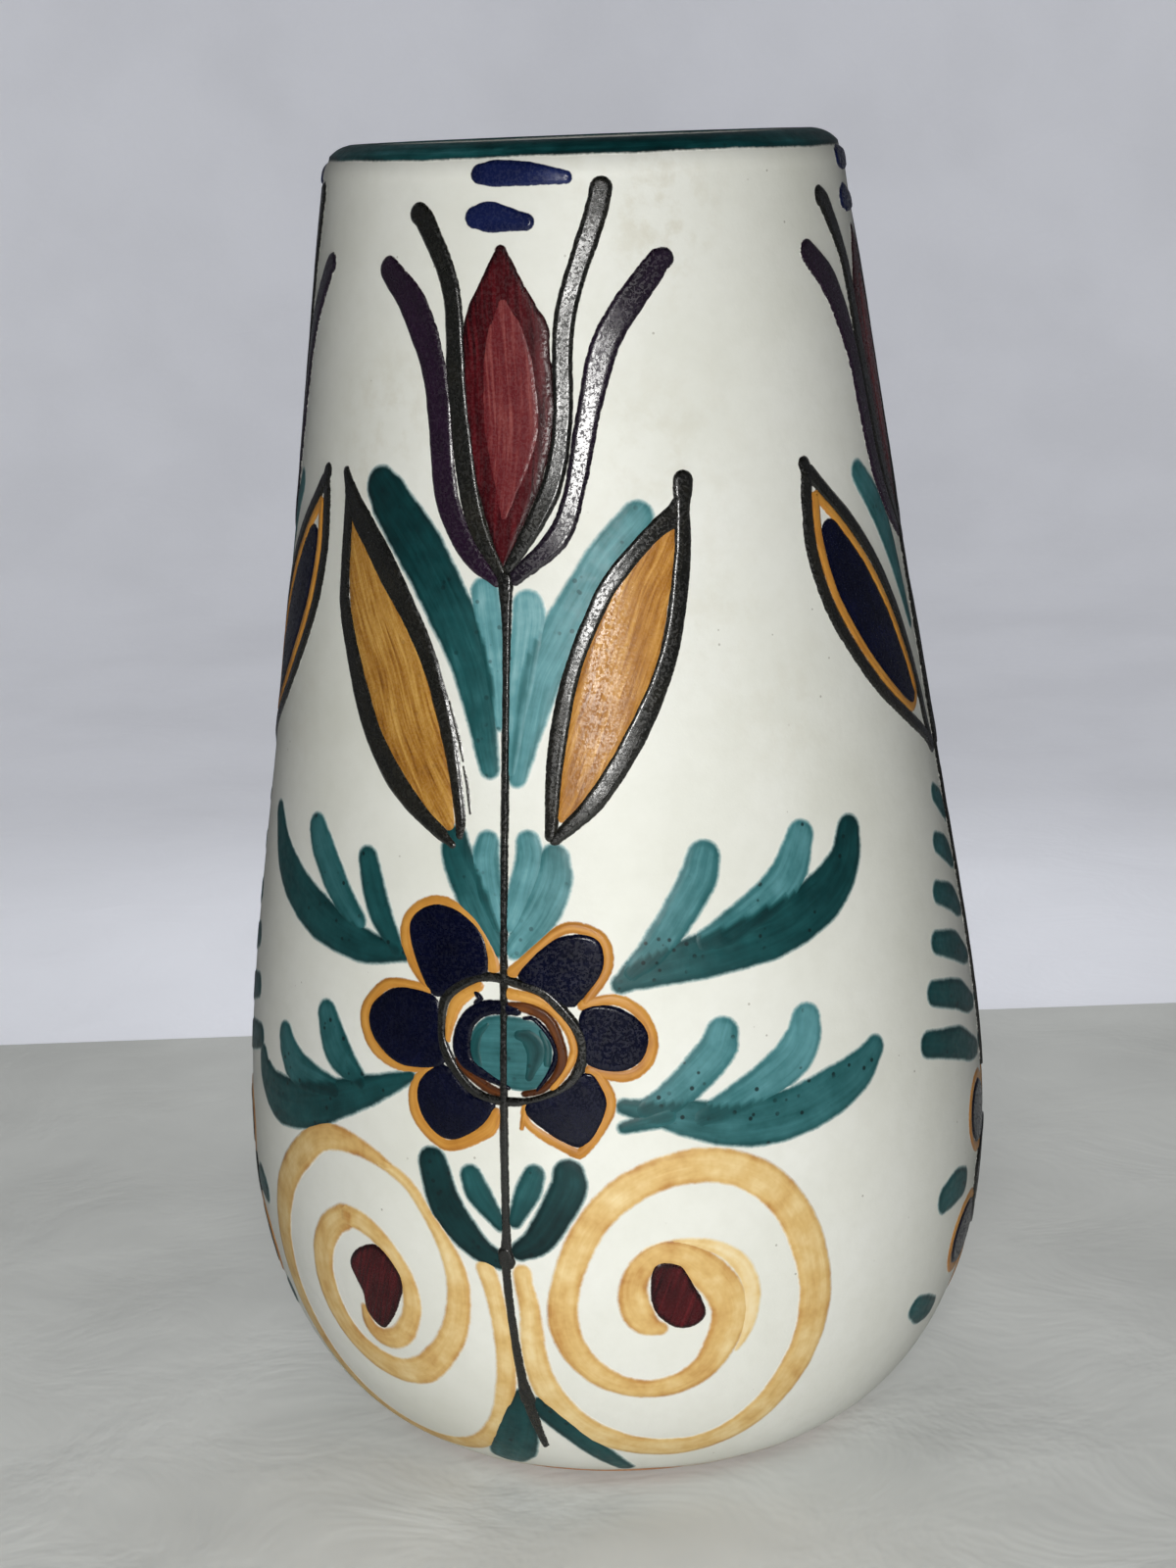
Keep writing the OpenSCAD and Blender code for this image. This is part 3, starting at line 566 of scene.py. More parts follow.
def hollow(d, rows):
    """The inside from the lip's crest down to the floor, d out of the wall."""
    top = arc(LIP_R, HIGH - INNER_LIP, INNER_LIP + d, 90, 180, 8)
    low, corner = FLOOR_TOP + d, 9.0
    wall = [wall_point(z, -(FULL_T + d)) for z in np.linspace(HIGH - INNER_LIP - 3, low + corner, rows)]
    wall = [p for p in wall if low + corner < p[1] < HIGH - INNER_LIP - 1.5]
    wall[0] = (min(wall[0][0], LIP_R - INNER_LIP - d), wall[0][1])
    r0, z0 = wall[-1]
    turn_in = [(r0 - corner * 1.1 * (1 - math.cos(a)), low + (z0 - low) * (1 - math.sin(a)))
               for a in np.radians(np.linspace(12, 90, 9))]
    r1 = turn_in[-1][0]
    return top + wall + turn_in + [(r1 * k, low) for k in (0.82, 0.6, 0.38, 0.18, 0)]


def thrown(r, z, a):
    """Turns the true circle into a hand-thrown one; the inside wanders less than the outside."""
    inner = r < wall_r(z) - 3
    w = wobble(a + 0 * z, z)
    return r + np.where(inner, 0.6, 1.0) * w * (r > 1), z


def glaze_shape(r, z, a):
    """Lets the glaze's lower edge wander above the foot."""
    r, z = thrown(r, z, a)
    low = np.clip(1 - (z - 1.0) / 3.2, 0, 1) * (r > 30)
    return r, z + low * (0.28 * np.sin(3 * a + 1) + 0.2 * np.sin(7 * a) + 0.12 * np.sin(17 * a + 2))


STAINS = [(30, 96.2, 9, 1.0), (33, 92, 7, 0.5), (27, 79, 12, 0.55), (35, 68, 10, 0.4), (-26, 82, 9, 0.7),
          (-31, 76, 8, 0.5), (12, 97.5, 5, 0.3), (150, 60, 14, 0.5), (-120, 30, 12, 0.5), (200, 88, 10, 0.5),
          (48, 60, 10, 0.35), (-48, 60, 12, 0.3), (230, 45, 11, 0.4)]     # degrees, percent, size in mm, how much


def glaze_marks(r, z, a):
    """How stained each point is, and how thin the glaze lies there."""
    stain = np.zeros(z.shape)
    for deg, pct, size, much in STAINS:
        gap = np.degrees((a - math.radians(deg) + math.pi) % (2 * math.pi) - math.pi) * per_degree(z)
        stain += much * np.exp(-(gap ** 2 + (z - pct * HIGH / 100) ** 2) / size ** 2)
    thin = np.where(z < 12, smoothstep((4.2 - z) / 3), 0)
    return np.stack([stain, thin, 0 * z], -1)


EDGE_Z = 1.75     # where the glaze stops above the foot, in a rolled edge
edge_way = np.array([-out_z(EDGE_Z), out_r(EDGE_Z)])
edge_out = np.array([edge_way[1], -edge_way[0]])
rolled = [np.array(wall_point(EDGE_Z, -GLAZE_T / 2)) + GLAZE_T / 2 * (math.cos(t) * edge_out - math.sin(t) * edge_way)
          for t in np.radians([155, 125, 95, 65, 35, 12])]
skin = (rolled + beside(0, 300, EDGE_Z) + lip_round(0, 4, 87, 18) + hollow(0, 70)
        + hollow(-GLAZE_T, 24)[::-1] + lip_round(-GLAZE_T, 8, 85, 5)[::-1] + beside(-GLAZE_T, 44, EDGE_Z)[::-1])
lathe("glaze", skin, 288, glaze_shape, glaze_material(), "white_glaze", ["outer_glaze", "inner_glaze"],
      marks=glaze_marks)

UNDER = GLAZE_T - 0.05     # the clay reaches a little into the glaze, so that no gap shows
ring_in = FOOT_R - FOOT_RING
foot = [(0, FOOT_HOLLOW), (9, FOOT_HOLLOW), (18, FOOT_HOLLOW), (26, FOOT_HOLLOW), (27.4, 2.4), (28.2, 1.9),
        (ring_in, 1.2), (ring_in + 0.1, 0.5), (ring_in + 0.45, 0.12), (ring_in + 1, 0), (30.5, 0), (32.5, 0),
        (34.4, 0), (FOOT_R - 0.3, 0.02)]
bare = [wall_point(z, -0.02) for z in (0.02, 0.06, 0.15, 0.3, 0.55, 0.9, 1.3, 1.7, 2.1)]
clay = foot + bare + beside(-UNDER, 40, 2.6) + lip_round(-UNDER, 8, 87, 5) + hollow(-UNDER, 24)
lathe("clay", clay, 144, thrown, clay_material(), "fired_clay", ["clay_body"])


def lip_band():
    """The green line round the lip: one slow turn of the wheel against a loaded brush."""
    e = Enamel(0.3, 0.25, 0.5, 0.1)
    n = 360
    a = np.arange(n) * 2 * math.pi / n
    low = 36 + 2.2 * np.sin(a + 2.4) + 1.6 * np.sin(3 * a) + 0.9 * np.sin(8 * a + 1) + 0.5 * np.sin(23 * a)
    high = 93 + 1.5 * np.sin(2 * a + 1) + 1.2 * np.sin(5 * a) + 0.7 * np.sin(13 * a + 2)
    mm = math.radians(LIP)
    length = (high - low) * mm
    t = np.linspace(-1, 1, 15)
    side = (np.sign(t) * (1 - (1 - np.abs(t)) ** 1.5))[:, None]
    across = side * (length / 2 + e.soft)
    turn_up = (low + high) / 2 + across / mm
    edge = length / 2 - np.abs(across)
    along = np.degrees(a) * per_degree(NECK_H) + 0 * across
    wave = waver(across * 2.1 + 0.5 * np.sin(along / 9), 4.0) + 0.4 * waver(along, 2.0, 1.5)
    h = e.height(edge, length / 2, e.lift, wave)
    up = np.radians(np.minimum(turn_up, 90))
    past = np.radians(np.maximum(turn_up - 90, 0) * LIP / INNER_LIP)
    r = np.where(turn_up <= 90, LIP_R + (LIP + h) * np.cos(up), LIP_R - (INNER_LIP + h) * np.sin(past))
    z = np.where(turn_up <= 90, NECK_H + (LIP + h) * np.sin(up), HIGH - INNER_LIP + (INNER_LIP + h) * np.cos(past))
    r = r + wobble(a + 0 * z, np.minimum(z, HIGH))
    pts = turned(r, z, a).reshape(-1, 3)
    faces = ring_faces(np.arange(len(pts)).reshape(-1, n), True)
    load = 0.62 + 0.12 * np.sin(a + 0.6) + 0.08 * np.sin(4 * a)
    e.add(pts, faces, along, across, 1, edge, load, 0 * edge)
    e.piece("lip_band", "rim_band", "lip_green", material["lip"])


lip_band()


# ---------------------------------------------------------------- the pattern
# A place is (degrees from the panel's axis, percent of the height, width of the stroke in mm).
# The pair after a stroke's places is its load of paint at the start and the end. The number
# after that is its tone, from 0 for the enamel's first colour to 1 for its second.

FRONT, BACK, RIGHT, LEFT = 0, 184, 94, -80     # where the panels' axes stand, in degrees

DASHES = [
    ([(-5.2, 98, 3), (-2, 98, 3.9), (5, 97.9, 3.4), (12.4, 97.6, 1.9)], (0.55, 0.3)),
    ([(-6.2, 95.1, 3.4), (-3.4, 95.1, 4.5), (4.2, 94.7, 2.5)], (0.5, 0.6)),
]
INNER_SEPALS = [
    ([(-19.4, 95.4, 3.4), (-17.3, 94.6, 3.5), (-11.4, 90.2, 3), (-9.5, 83, 3.3), (-6, 75.1, 3.3), (-0.6, 70.7, 2)],
     (0.75, 0.6)),
    ([(19.4, 96.8, 3.5), (18.1, 95.1, 3.4), (11.6, 88.4, 3.2), (10.6, 81.5, 3), (9.1, 77.8, 3.1), (6.2, 75, 3.1),
      (0.6, 71.3, 1.8)], (0.7, 0.75)),
]
OUTER_SEPALS = [
    ([(-26.9, 91.6, 4), (-19.9, 89, 5.1), (-14.4, 84.2, 4.3), (-12, 77.3, 4), (-10.2, 74.8, 3.9), (-6.5, 72.2, 3.2),
      (-1.7, 70.3, 1.8)], (0.7, 0.55), 0.9),
    ([(31, 91.9, 3.4), (29, 91.3, 3.9), (19.7, 86.9, 4.3), (15.4, 81.8, 3.6), (12.3, 76.3, 3.2), (9, 73.2, 3.5),
      (1.6, 70.6, 2.4)], (0.65, 0.7), 0.3),
]
TULIP = [(-0.9, 92.8, 1.8), (-0.8, 88.8, 10.8), (-0.1, 86.3, 13.4), (0.5, 79.5, 12.9), (-0.6, 71.2, 0.9)]
TULIP_LIGHT = [(-0.4, 89.2, 2.2), (0.1, 87, 6.4), (0.8, 83.5, 9), (1.1, 80, 8.4), (-0.2, 74.8, 1.6)]
STEM_TOP = [(0, 70.3, 2.4), (0.2, 66.7, 1.5), (0.1, 60, 1.35), (-0.1, 50, 1.3), (-0.1, 40, 1.3)]
STEM = STEM_TOP + [(-0.2, 31.8, 1.4), (-0.3, 25, 1.4), (-0.5, 22.3, 2), (-0.6, 20.6, 1.4), (0, 12.8, 1.6),
                   (0.3, 10.6, 2.2), (1.3, 5.4, 1.2)]
TOP_KNOT = [(-0.1, 70.5, 2.6), (0.2, 69.9, 2.2)]
KNOTS = [[(-0.6, 22.6, 2.6), (-0.4, 22.0, 2.8)], [(0.2, 10.9, 2.3), (0.4, 10.3, 2.7)], TOP_KNOT]

UPPER_LEAVES = [
    ([(-26.2, 76.5, 6.2), (-23.8, 75.5, 7.6), (-15, 71.4, 8), (-6.3, 64.8, 6.4), (-2.6, 57.4, 2.8)], (0.92, 0.46)),
    ([(23.2, 74.5, 4.8), (16.3, 71.3, 5.2), (7, 64.8, 6.4), (4.8, 62.4, 5.8), (2, 56.8, 2.6)], (0.3, 0.24)),
    ([(-3.7, 69.6, 4.2), (-2.4, 66, 4), (-1, 60.4, 1.4)], (0.2, 0.15)),
    ([(3.9, 68.7, 4.2), (4, 67.3, 4.9), (2.4, 62.6, 4), (1.1, 57.2, 1.6)], (0.12, 0.2)),
]
FAN = [
    ([(-8.2, 52.4, 3.9), (-7.6, 50.9, 5.1), (-3.2, 46.5, 4.6), (-1.4, 44.8, 2.7)], (0.7, 0.45)),
    ([(-2.8, 52.2, 3.4), (-3.1, 51, 4.1), (-2.2, 48.4, 4), (-0.9, 46.6, 2.7)], (0.3, 0.2)),
    ([(3.7, 52.3, 3.4), (3.9, 51.2, 4), (2.4, 48.5, 3.8), (1, 46.6, 2.4)], (0.3, 0.2)),
    ([(7.8, 51.2, 4.4), (7.5, 49.6, 5.4), (5.2, 47.2, 5.4), (1.6, 44.9, 3.2)], (0.38, 0.25)),
]
LEFT_OUTLINE = [
    [(-36.9, 77.3, 1.7), (-35.4, 75.4, 2.6), (-35.2, 69.6, 2.6), (-34.1, 67.2, 3), (-27.4, 60.9, 3.9), (-22.5, 57.6, 4),
     (-17.1, 55, 3.7), (-8.7, 51.9, 1.6)],
    [(-36.7, 77.2, 1.8), (-33.4, 75, 3.9), (-25.4, 71.5, 4.5), (-15.9, 66.1, 3.3), (-10.6, 60.6, 2.7),
     (-7.7, 54.6, 1.9), (-7.5, 52.6, 1.6)],
]
LEFT_FILL = [(-33.4, 73.8, 1.5), (-30.2, 71, 7), (-26.1, 67.4, 11.2), (-21.4, 63.8, 12.6), (-18, 59.9, 11.4),
             (-13.3, 56.1, 8), (-9.3, 53.2, 1.6)]
RIGHT_OUTLINE = [
    [(31.6, 75.6, 2.6), (30, 74.5, 3.3), (25.3, 73.2, 3.1), (19.3, 70.7, 3.2), (15.9, 68.6, 3.1), (11.2, 64.1, 2.8),
     (8.4, 58.4, 2.9), (7.3, 52.8, 1.9)],
    [(31.4, 75.4, 2.4), (30.6, 71.4, 2.8), (27.6, 65.5, 2.9), (22, 60.3, 3.5), (14.6, 55.4, 3.2), (7.9, 52.5, 1.8)],
    [(31.9, 76.8, 3.2), (31.6, 75.9, 3.0)],
]
RIGHT_FILL = [(29.2, 73.8, 1.4), (26.6, 71.6, 5.2), (23.5, 69.4, 8.2), (20.4, 66, 10.4), (17.8, 63.1, 10.8),
              (11.9, 56.8, 5.8), (9, 54.1, 1.4)]
LEAF_SCRATCHES = [[(-9.9, 61.9, 0.4), (-7.9, 59.2, 0.55), (-7.2, 57.8, 0.3)],
                  [(-7.1, 57.4, 0.3), (-6.4, 56.2, 0.55), (-5.8, 54.2, 0.35)]]

LEFT_SPRIGS = [
    ([(-54.2, 51, 3.8), (-49, 48, 6.7), (-38.2, 45.4, 7.4), (-25.7, 43.9, 5.4), (-16.6, 43.8, 2.3)], (0.66, 0.72)),
    ([(-38, 51.3, 4.9), (-36.4, 50.2, 5.6), (-30.1, 46.9, 4.9), (-26.3, 45.5, 3.3)], (0.45, 0.55)),
    ([(-24.8, 50.1, 3.8), (-22.1, 46.8, 4.4), (-18, 43.9, 2.4)], (0.6, 0.66)),
    ([(-53.4, 31.8, 4.4), (-52.1, 30.9, 6.1), (-47.4, 29.9, 7.7), (-41.2, 30.1, 7.9), (-34.4, 31, 7.2),
      (-22.3, 33.4, 4.4), (-15, 35, 1.7)], (0.66, 0.72)),
    ([(-43.8, 34.9, 4.9), (-42.6, 34, 6.1), (-39.1, 32.9, 6.4), (-30, 32.6, 3.6)], (0.5, 0.6)),
    ([(-32.1, 38, 4.6), (-29.5, 35.7, 6.1), (-24.4, 33.8, 3.1)], (0.5, 0.6)),
]
RIGHT_SPRIGS = [
    ([(57.2, 50.9, 4.5), (55.6, 48.9, 6.1), (51, 46.9, 7.6), (43.9, 45.4, 8.1), (35, 44.4, 7.3), (21, 43.2, 4.9),
      (17.2, 42.4, 2.7)], (0.78, 0.58)),
    ([(47.4, 51.3, 4.6), (43.4, 48.2, 6.1), (34, 45.6, 4.9), (30, 44.9, 3.4)], (0.28, 0.4)),
    ([(30.6, 50.8, 4.9), (29.1, 49, 5.4), (22.8, 44.9, 4.6), (19, 43.2, 3.2)], (0.34, 0.42)),
    ([(57, 34.9, 3.7), (53.7, 33.7, 6.1), (48.6, 32.7, 7.3), (41, 31.8, 7.6), (32.8, 31.7, 6.6), (25, 32.7, 5.1),
      (16.9, 33.7, 2.2)], (0.46, 0.56)),
    ([(44.9, 38.3, 4.9), (44.1, 37, 6.1), (41, 35.4, 6.1), (32.2, 33.2, 4.6), (28, 32.5, 3.2)], (0.26, 0.34)),
    ([(31.5, 38.3, 4.9), (30.2, 37, 5.6), (23.7, 34.1, 4.9), (20, 33.4, 3.2)], (0.3, 0.38)),
    ([(23, 32.8, 2.9), (16.8, 32.2, 1.7)], (0.5, 0.6)),
]
SMALL_LEAVES = [
    ([(-11.3, 28.9, 4.8), (-9.3, 25.7, 5.6), (-4.9, 23, 4.2), (-1.5, 22, 2.8)], (0.86, 0.95)),
    ([(-5.3, 28.3, 3.4), (-4.2, 27, 3.9), (-1.1, 24.8, 2)], (0.64, 0.7)),
    ([(4, 28.7, 3.1), (3, 27.4, 3.6), (1, 25.2, 2.2)], (0.6, 0.68)),
    ([(8.9, 28.8, 4.5), (8.6, 27.5, 5.4), (4.6, 24, 4.5), (1.6, 22.9, 3)], (0.8, 0.92)),
    ([(-0.4, 10.6, 2.6), (-3, 6.8, 6.6), (-5.4, 4.5, 7.6), (-8.2, 2.8, 5.6)], (0.8, 0.6)),
    ([(2, 9.9, 2.8), (3.8, 8.7, 3.9), (10.8, 4.7, 3.7), (15, 2.4, 2.6)], (0.8, 0.65)),
]

PETALS = [
    [(-15.5, 45.4), (-13.5, 47.1), (-8.8, 47.4), (-4.5, 46.2), (-3, 44.8), (-3.2, 43), (-6.1, 42.6), (-11.3, 41.3)],
    [(-22.2, 39.6), (-17.3, 41.2), (-11.6, 41), (-10.3, 39.4), (-9.7, 36.5), (-12.5, 35.9), (-17.9, 36.1),
     (-22, 37.7)],
    [(-13.2, 34.8), (-9.5, 36.1), (-5.4, 34.2), (-1.8, 33.8), (-3.4, 32.4), (-7.1, 31.1), (-10.6, 31.3), (-13.1, 32.8)],
    [(2.9, 42.6), (3.3, 43.7), (8, 45.5), (13.6, 45.5), (14.3, 43.4), (11, 41.4), (9.1, 41.1)],
    [(11.7, 40.5), (16.2, 40.6), (20.2, 39.1), (19.3, 37), (15.1, 36.4), (11.6, 37.4)],
    [(3.9, 34.1), (6.3, 34.5), (11.3, 36), (13, 35.7), (14.2, 33.7), (10.7, 31), (3.6, 33.1)],
]
PETAL_LINES = [
    [(-1.7, 43.5, 2), (-2.4, 44.8, 1.6), (-5.9, 47, 1.4), (-11.2, 47.9, 1.5), (-16, 46.5, 1.7), (-16.1, 44.2, 2),
     (-12.2, 41.5, 1.4)],
    [(-12, 41.5, 1.5), (-17.4, 41.6, 1.6), (-20.6, 41.1, 1.7), (-23.6, 39, 2.3), (-21.7, 36.8, 2.3), (-16.8, 35.6, 1.3),
     (-10.4, 36, 1)],
    [(-10.8, 36.1, 1.2), (-14, 34.6, 1.8), (-13.8, 32.3, 2.1), (-10.2, 30.6, 1.8), (-7.5, 30.5, 1.8), (-2.7, 31.8, 2.3),
     (-1.4, 33, 2)],
    [(1.2, 43.2, 1.8), (8, 46.1, 1.6), (11.9, 46.3, 1.7), (14.9, 45.4, 1.6), (15.2, 43.5, 1.6), (12, 41.2, 1.4)],
    [(11.6, 41, 1.8), (16.3, 41.3, 1.6), (19.7, 40.3, 1.7), (21.4, 38.5, 1.6), (20.4, 36.8, 1.8), (17.5, 35.9, 1.7),
     (12.4, 36.3, 1.7)],
    [(2.9, 34, 1), (3.4, 32.4, 1.2), (8.9, 30.7, 1.5), (11.1, 30.6, 1.6), (15, 33.6, 1.7), (13.8, 35.7, 1.6),
     (12.2, 36.4, 1.4)],
    [(2.9, 33.4, 1), (2.4, 32.1, 0.6)],
]
RING = [(-3, 42.8, 1.5), (3, 42.3, 1.6), (6.9, 41.4, 1.8), (11.2, 38.6, 1.8), (10.1, 35.8, 1.7), (5.1, 34.3, 1.2),
        (-0.1, 34, 1.5), (-4.8, 34.6, 1.6), (-8.9, 37, 1.9), (-9.9, 39.2, 1.6), (-8.7, 41.4, 1.8)]
BANDS = [
    ([(-3.9, 42.1, 1.5), (-7.2, 40.9, 2.2), (-8.4, 39.5, 1.8), (-8.9, 38.1, 1.1)], (0.25, 0.4), 0),
    ([(0.6, 41.7, 1.8), (4.9, 41.3, 1.8), (8.2, 40.2, 1.7), (9.9, 38.6, 1.5), (9.9, 37.2, 1.4), (7.1, 35.1, 1.2)],
     (0.3, 0.5), 0),
    ([(0.2, 40.8, 1.3), (3.7, 40.7, 1.7), (6.9, 39.7, 1.8), (8.4, 37, 1.7), (5.9, 35.1, 1.1), (2.9, 34.6, 1.1)],
     (0.4, 0.6), 1),
    ([(-7.2, 37.2, 0.8), (-6.7, 36.3, 1.3), (-2.5, 34.9, 1.7), (-0.7, 34.6, 1.3)], (0.6, 0.5), 1),
]
EYE_RINGS = [
    [(1.8, 40.5, 1.6), (-0.6, 40.7, 2.2), (-3.3, 40.5, 2.5), (-5.6, 39.6, 2.7), (-6.5, 38.3, 3), (-6.3, 37.1, 3),
     (-4.9, 36.3, 2.3), (0.6, 35, 0.8)],
    [(3, 40, 0.7), (4.6, 39.9, 0.8), (7.2, 38.3, 1), (7.3, 36.9, 1), (4.8, 34.9, 0.7)],
    [(-4.4, 41.6, 0.9), (-3.7, 41.2, 1), (-4.4, 40.9, 0.8)],
]
EYE = [(-4.9, 38.9), (-1.4, 40.1), (5.6, 39.5), (6.9, 37.2), (5, 35.1), (-0.1, 35), (-4.7, 36.5)]
EYE_MARKS = [[(-2.6, 39.4, 1.2), (-4, 38.6, 1.8), (-4.4, 37.5, 2), (-3.7, 36.5, 1.4)],
             [(2.2, 38.8, 2), (3.6, 38.6, 3), (4.7, 37.6, 3.4), (3.6, 35.8, 1.6)],
             [(5.4, 39.1, 1), (6.2, 38, 1.6), (6.2, 36.8, 1.4)]]


def curl(deg, pct, knots):
    """A stroke that curls round a middle: its angle there, its distance and its width in mm."""
    out = []
    for angle, far, width in smooth_path(knots, steps=6):
        z = pct * HIGH / 100 + far * math.sin(math.radians(angle))
        out.append((deg + far * math.cos(math.radians(angle)) / float(per_degree(z)), z * 100 / HIGH, width))
    return out


LEFT_SCROLL = [
    curl(-25.5, 17, [(21, 25.1, 2.9), (0, 24.8, 2.8), (-26, 25.8, 3.1), (-70, 29.1, 3.6), (-100, 28.5, 4.1),
                     (-140, 24.9, 4.9), (-167, 24.1, 5.4), (-207, 24, 5.7), (-235, 24.4, 5.1), (-255, 25.7, 4.4),
                     (-287, 23.9, 1.7)]),
    curl(-23.5, 17.5, [(82, 22.5, 1.6), (67, 21.5, 1.8), (49, 19.1, 1.9), (21, 17.4, 3.6), (-6, 15.4, 4.1),
                       (-40, 14, 4.6), (-75, 14.4, 5), (-119, 13.7, 5.2), (-173, 12.6, 5.4), (-245, 12.5, 4.2)]),
    curl(-23, 17.5, [(113, 12.8, 3.4), (53, 8.1, 2.9), (-28, 6.8, 3.4), (-100, 8.5, 3.4), (-134, 5.5, 1.4)]),
]
RIGHT_SCROLL = [
    curl(24, 17, [(160, 25.5, 2.7), (178, 22.9, 3.3), (214, 23.8, 4.4), (263, 25, 5), (283, 24.8, 4.9),
                  (327, 21.9, 5.3), (378, 22.5, 5.6), (426, 25.7, 5.3), (461, 24.2, 5), (507, 19.4, 4.4),
                  (546, 17.4, 4.5), (603, 13, 3.5), (650, 9.4, 4.4), (695, 7.3, 5.3), (775, 8.7, 5.7), (826, 12.2, 3.5),
                  (882, 6.9, 4.7), (911, 3.3, 2.2)]),
]
PALE_WASH = curl(24, 17, [(112, 13.4, 1), (85, 13.3, 1.4), (45, 12.9, 2.6), (0, 10.8, 2.4), (-34, 10.4, 0.6)])
LEFT_HEART = [(-25.4, 20.9), (-21.5, 21.4), (-17.8, 19.4), (-19.1, 16.9), (-23, 14.4), (-25.9, 15.3), (-26.3, 17.1),
              (-28.1, 19.3)]
RIGHT_HEART = [(20.2, 21.7), (23.5, 21.8), (24.9, 21), (27.5, 17.9), (26, 16.7), (22.8, 16.8), (20, 18.5)]

BLUE_LEAF = [(-35.4, 76.4, 2.6), (-34, 74.6, 7), (-31.2, 71.8, 12.6), (-27.2, 68.6, 16.4), (-22.4, 65.4, 17.4),
             (-16.6, 61.8, 15.8), (-10.6, 58.4, 10.8), (-5.6, 55.4, 4.6), (-3.4, 54, 1.8)]
BLUE_TEAL = [(-19.6, 75.6, 4), (-14, 73, 5.4), (-9.4, 69.8, 5), (-3.8, 63.6, 2)]
# A petal is its middle, its width and height in mm and its tilt.
BLUE_PETALS = [(-3.6, 24.6, 12, 10.6, -30), (10.6, 24.6, 12, 10.6, 30), (-9, 15.5, 12.4, 10.4, 12),
               (16, 15.5, 12.4, 10.4, -12), (3.5, 10.8, 10.4, 10.4, 0)]
BLUE_EYE = (3.5, 18.4)
BLUE_STEM = STEM_TOP[:4] + [(0.3, 46, 1.35), (0.8, 39, 1.35), (1.7, 33.4, 1.4), (3.1, 27.4, 1.4)]
BLUE_DABS = [
    [(-20.6, 20.5, 5), (-16.5, 20.7, 5.8), (-13.4, 20.5, 4.6)], [(-25, 12.1, 4), (-21.5, 11.2, 5), (-18.4, 10.7, 4)],
    [(19.4, 20.5, 4.6), (21.6, 20.7, 5.8), (23.8, 20.5, 5)], [(21, 11, 4), (22.9, 11.4, 4.6), (24.8, 12, 4)],
]


def mirrored(places):
    return [(-p[0],) + tuple(p[1:]) for p in places]


def oval(x, y, wide, tall, tilt, grow=0.0, points=10):
    """A round dab as places on the wall, from its middle, its size in mm and its tilt."""
    out, t = [], math.radians(tilt)
    for i in range(points):
        a = 2 * math.pi * i / points
        u, v = (wide / 2 + grow) * math.cos(a), (tall / 2 + grow) * math.sin(a)
        out.append((x + (u * math.cos(t) - v * math.sin(t)) / float(per_degree(y * HIGH / 100)),
                    y + (u * math.sin(t) + v * math.cos(t)) * 100 / HIGH))
    return out


def rim_of(places, inset, width):
    """A line that runs round a painted shape, a little way in from its edge."""
    p = np.array(places, float)
    k, up = per_degree(p[:, 1] * HIGH / 100), HIGH / 100
    d = np.gradient(np.stack([p[:, 0] * k, p[:, 1] * up], 1), axis=0)
    d /= np.linalg.norm(d, axis=1)[:, None]
    h = np.maximum(p[:, 2] / 2 - inset, 0.25)
    side = lambda s: [(x - s * b * w / kk, y + s * a * w / up, width)
                      for (x, y), (a, b), w, kk in zip(p[:, :2], d, h, k)]
    return side(1) + side(-1)[::-1]


def ring(x, y, size, width):
    return [(u, v, width) for u, v in oval(x, y, size, size, 0, points=12)]


# Each node's slot and look, then how thick its paint lies, how soft its edge is, how far in
# from the edge it reaches its full height and how high its rim stands.
PAINTS = {
    "navy_dashes": ("navy_enamel", "navy", 0.3, 0.1, 0.45, 0.04),
    "tulip_petals": ("crimson_enamel", "red", 0.2, 0.12, 0.45, 0.04),
    "inner_sepals": ("olive_enamel", "ink", 0.42, 0.08, 0.45, 0.02),
    "outer_sepals": ("plum_black_enamel", "plum", 0.34, 0.08, 0.45, 0.02),
    "stems": ("black_enamel", "ink", 0.46, 0.06, 0.35, 0.02),
    "tulip_leaves": ("teal_enamel", "teal_thin", 0.1, 0.6, 0.45, 0),
    "side_sprigs": ("teal_enamel", "teal", 0.1, 0.6, 0.45, 0),
    "fern_strokes": ("teal_enamel", "teal", 0.1, 0.6, 0.45, 0),
    "small_leaves": ("dark_teal_enamel", "teal", 0.13, 0.55, 0.45, 0),
    "leaf_outlines": ("olive_enamel", "ink", 0.36, 0.08, 0.6, 0.02),
    "ochre_leaves": ("ochre_enamel", "ochre", 0.18, 0.3, 0.45, 0.02),
    "blue_leaf_borders": ("honey_enamel", "border", 0.26, 0.12, 0.45, 0.1),
    "blue_leaves": ("navy_enamel", "navy", 0.2, 0.1, 0.45, 0.1),
    "flower_petals": ("navy_enamel", "navy", 0.3, 0.08, 0.45, 0.04),
    "petal_borders": ("honey_enamel", "border", 0.18, 0.2, 0.45, 0.02),
    "flower_rings": ("olive_enamel", "ink", 0.4, 0.08, 0.45, 0.02),
    "flower_bands": ("brown_enamel", "band", 0.2, 0.14, 0.45, 0.02),
    "flower_eye_rings": ("navy_enamel", "navy", 0.32, 0.1, 0.45, 0.1),
    "flower_eyes": ("teal_enamel", "teal_thin", 0.16, 0.3, 0.45, 0.02),
    "scrolls": ("honey_enamel", "scroll", 0.08, 0.4, 0.45, 0),
    "scroll_hearts": ("maroon_enamel", "red", 0.26, 0.12, 0.45, 0.1),
}
lay = {node: Enamel(*paint[2:]) for node, paint in PAINTS.items()}
STILL = (0, 0, 1)     # the slip of a stroke that lands where it is meant to


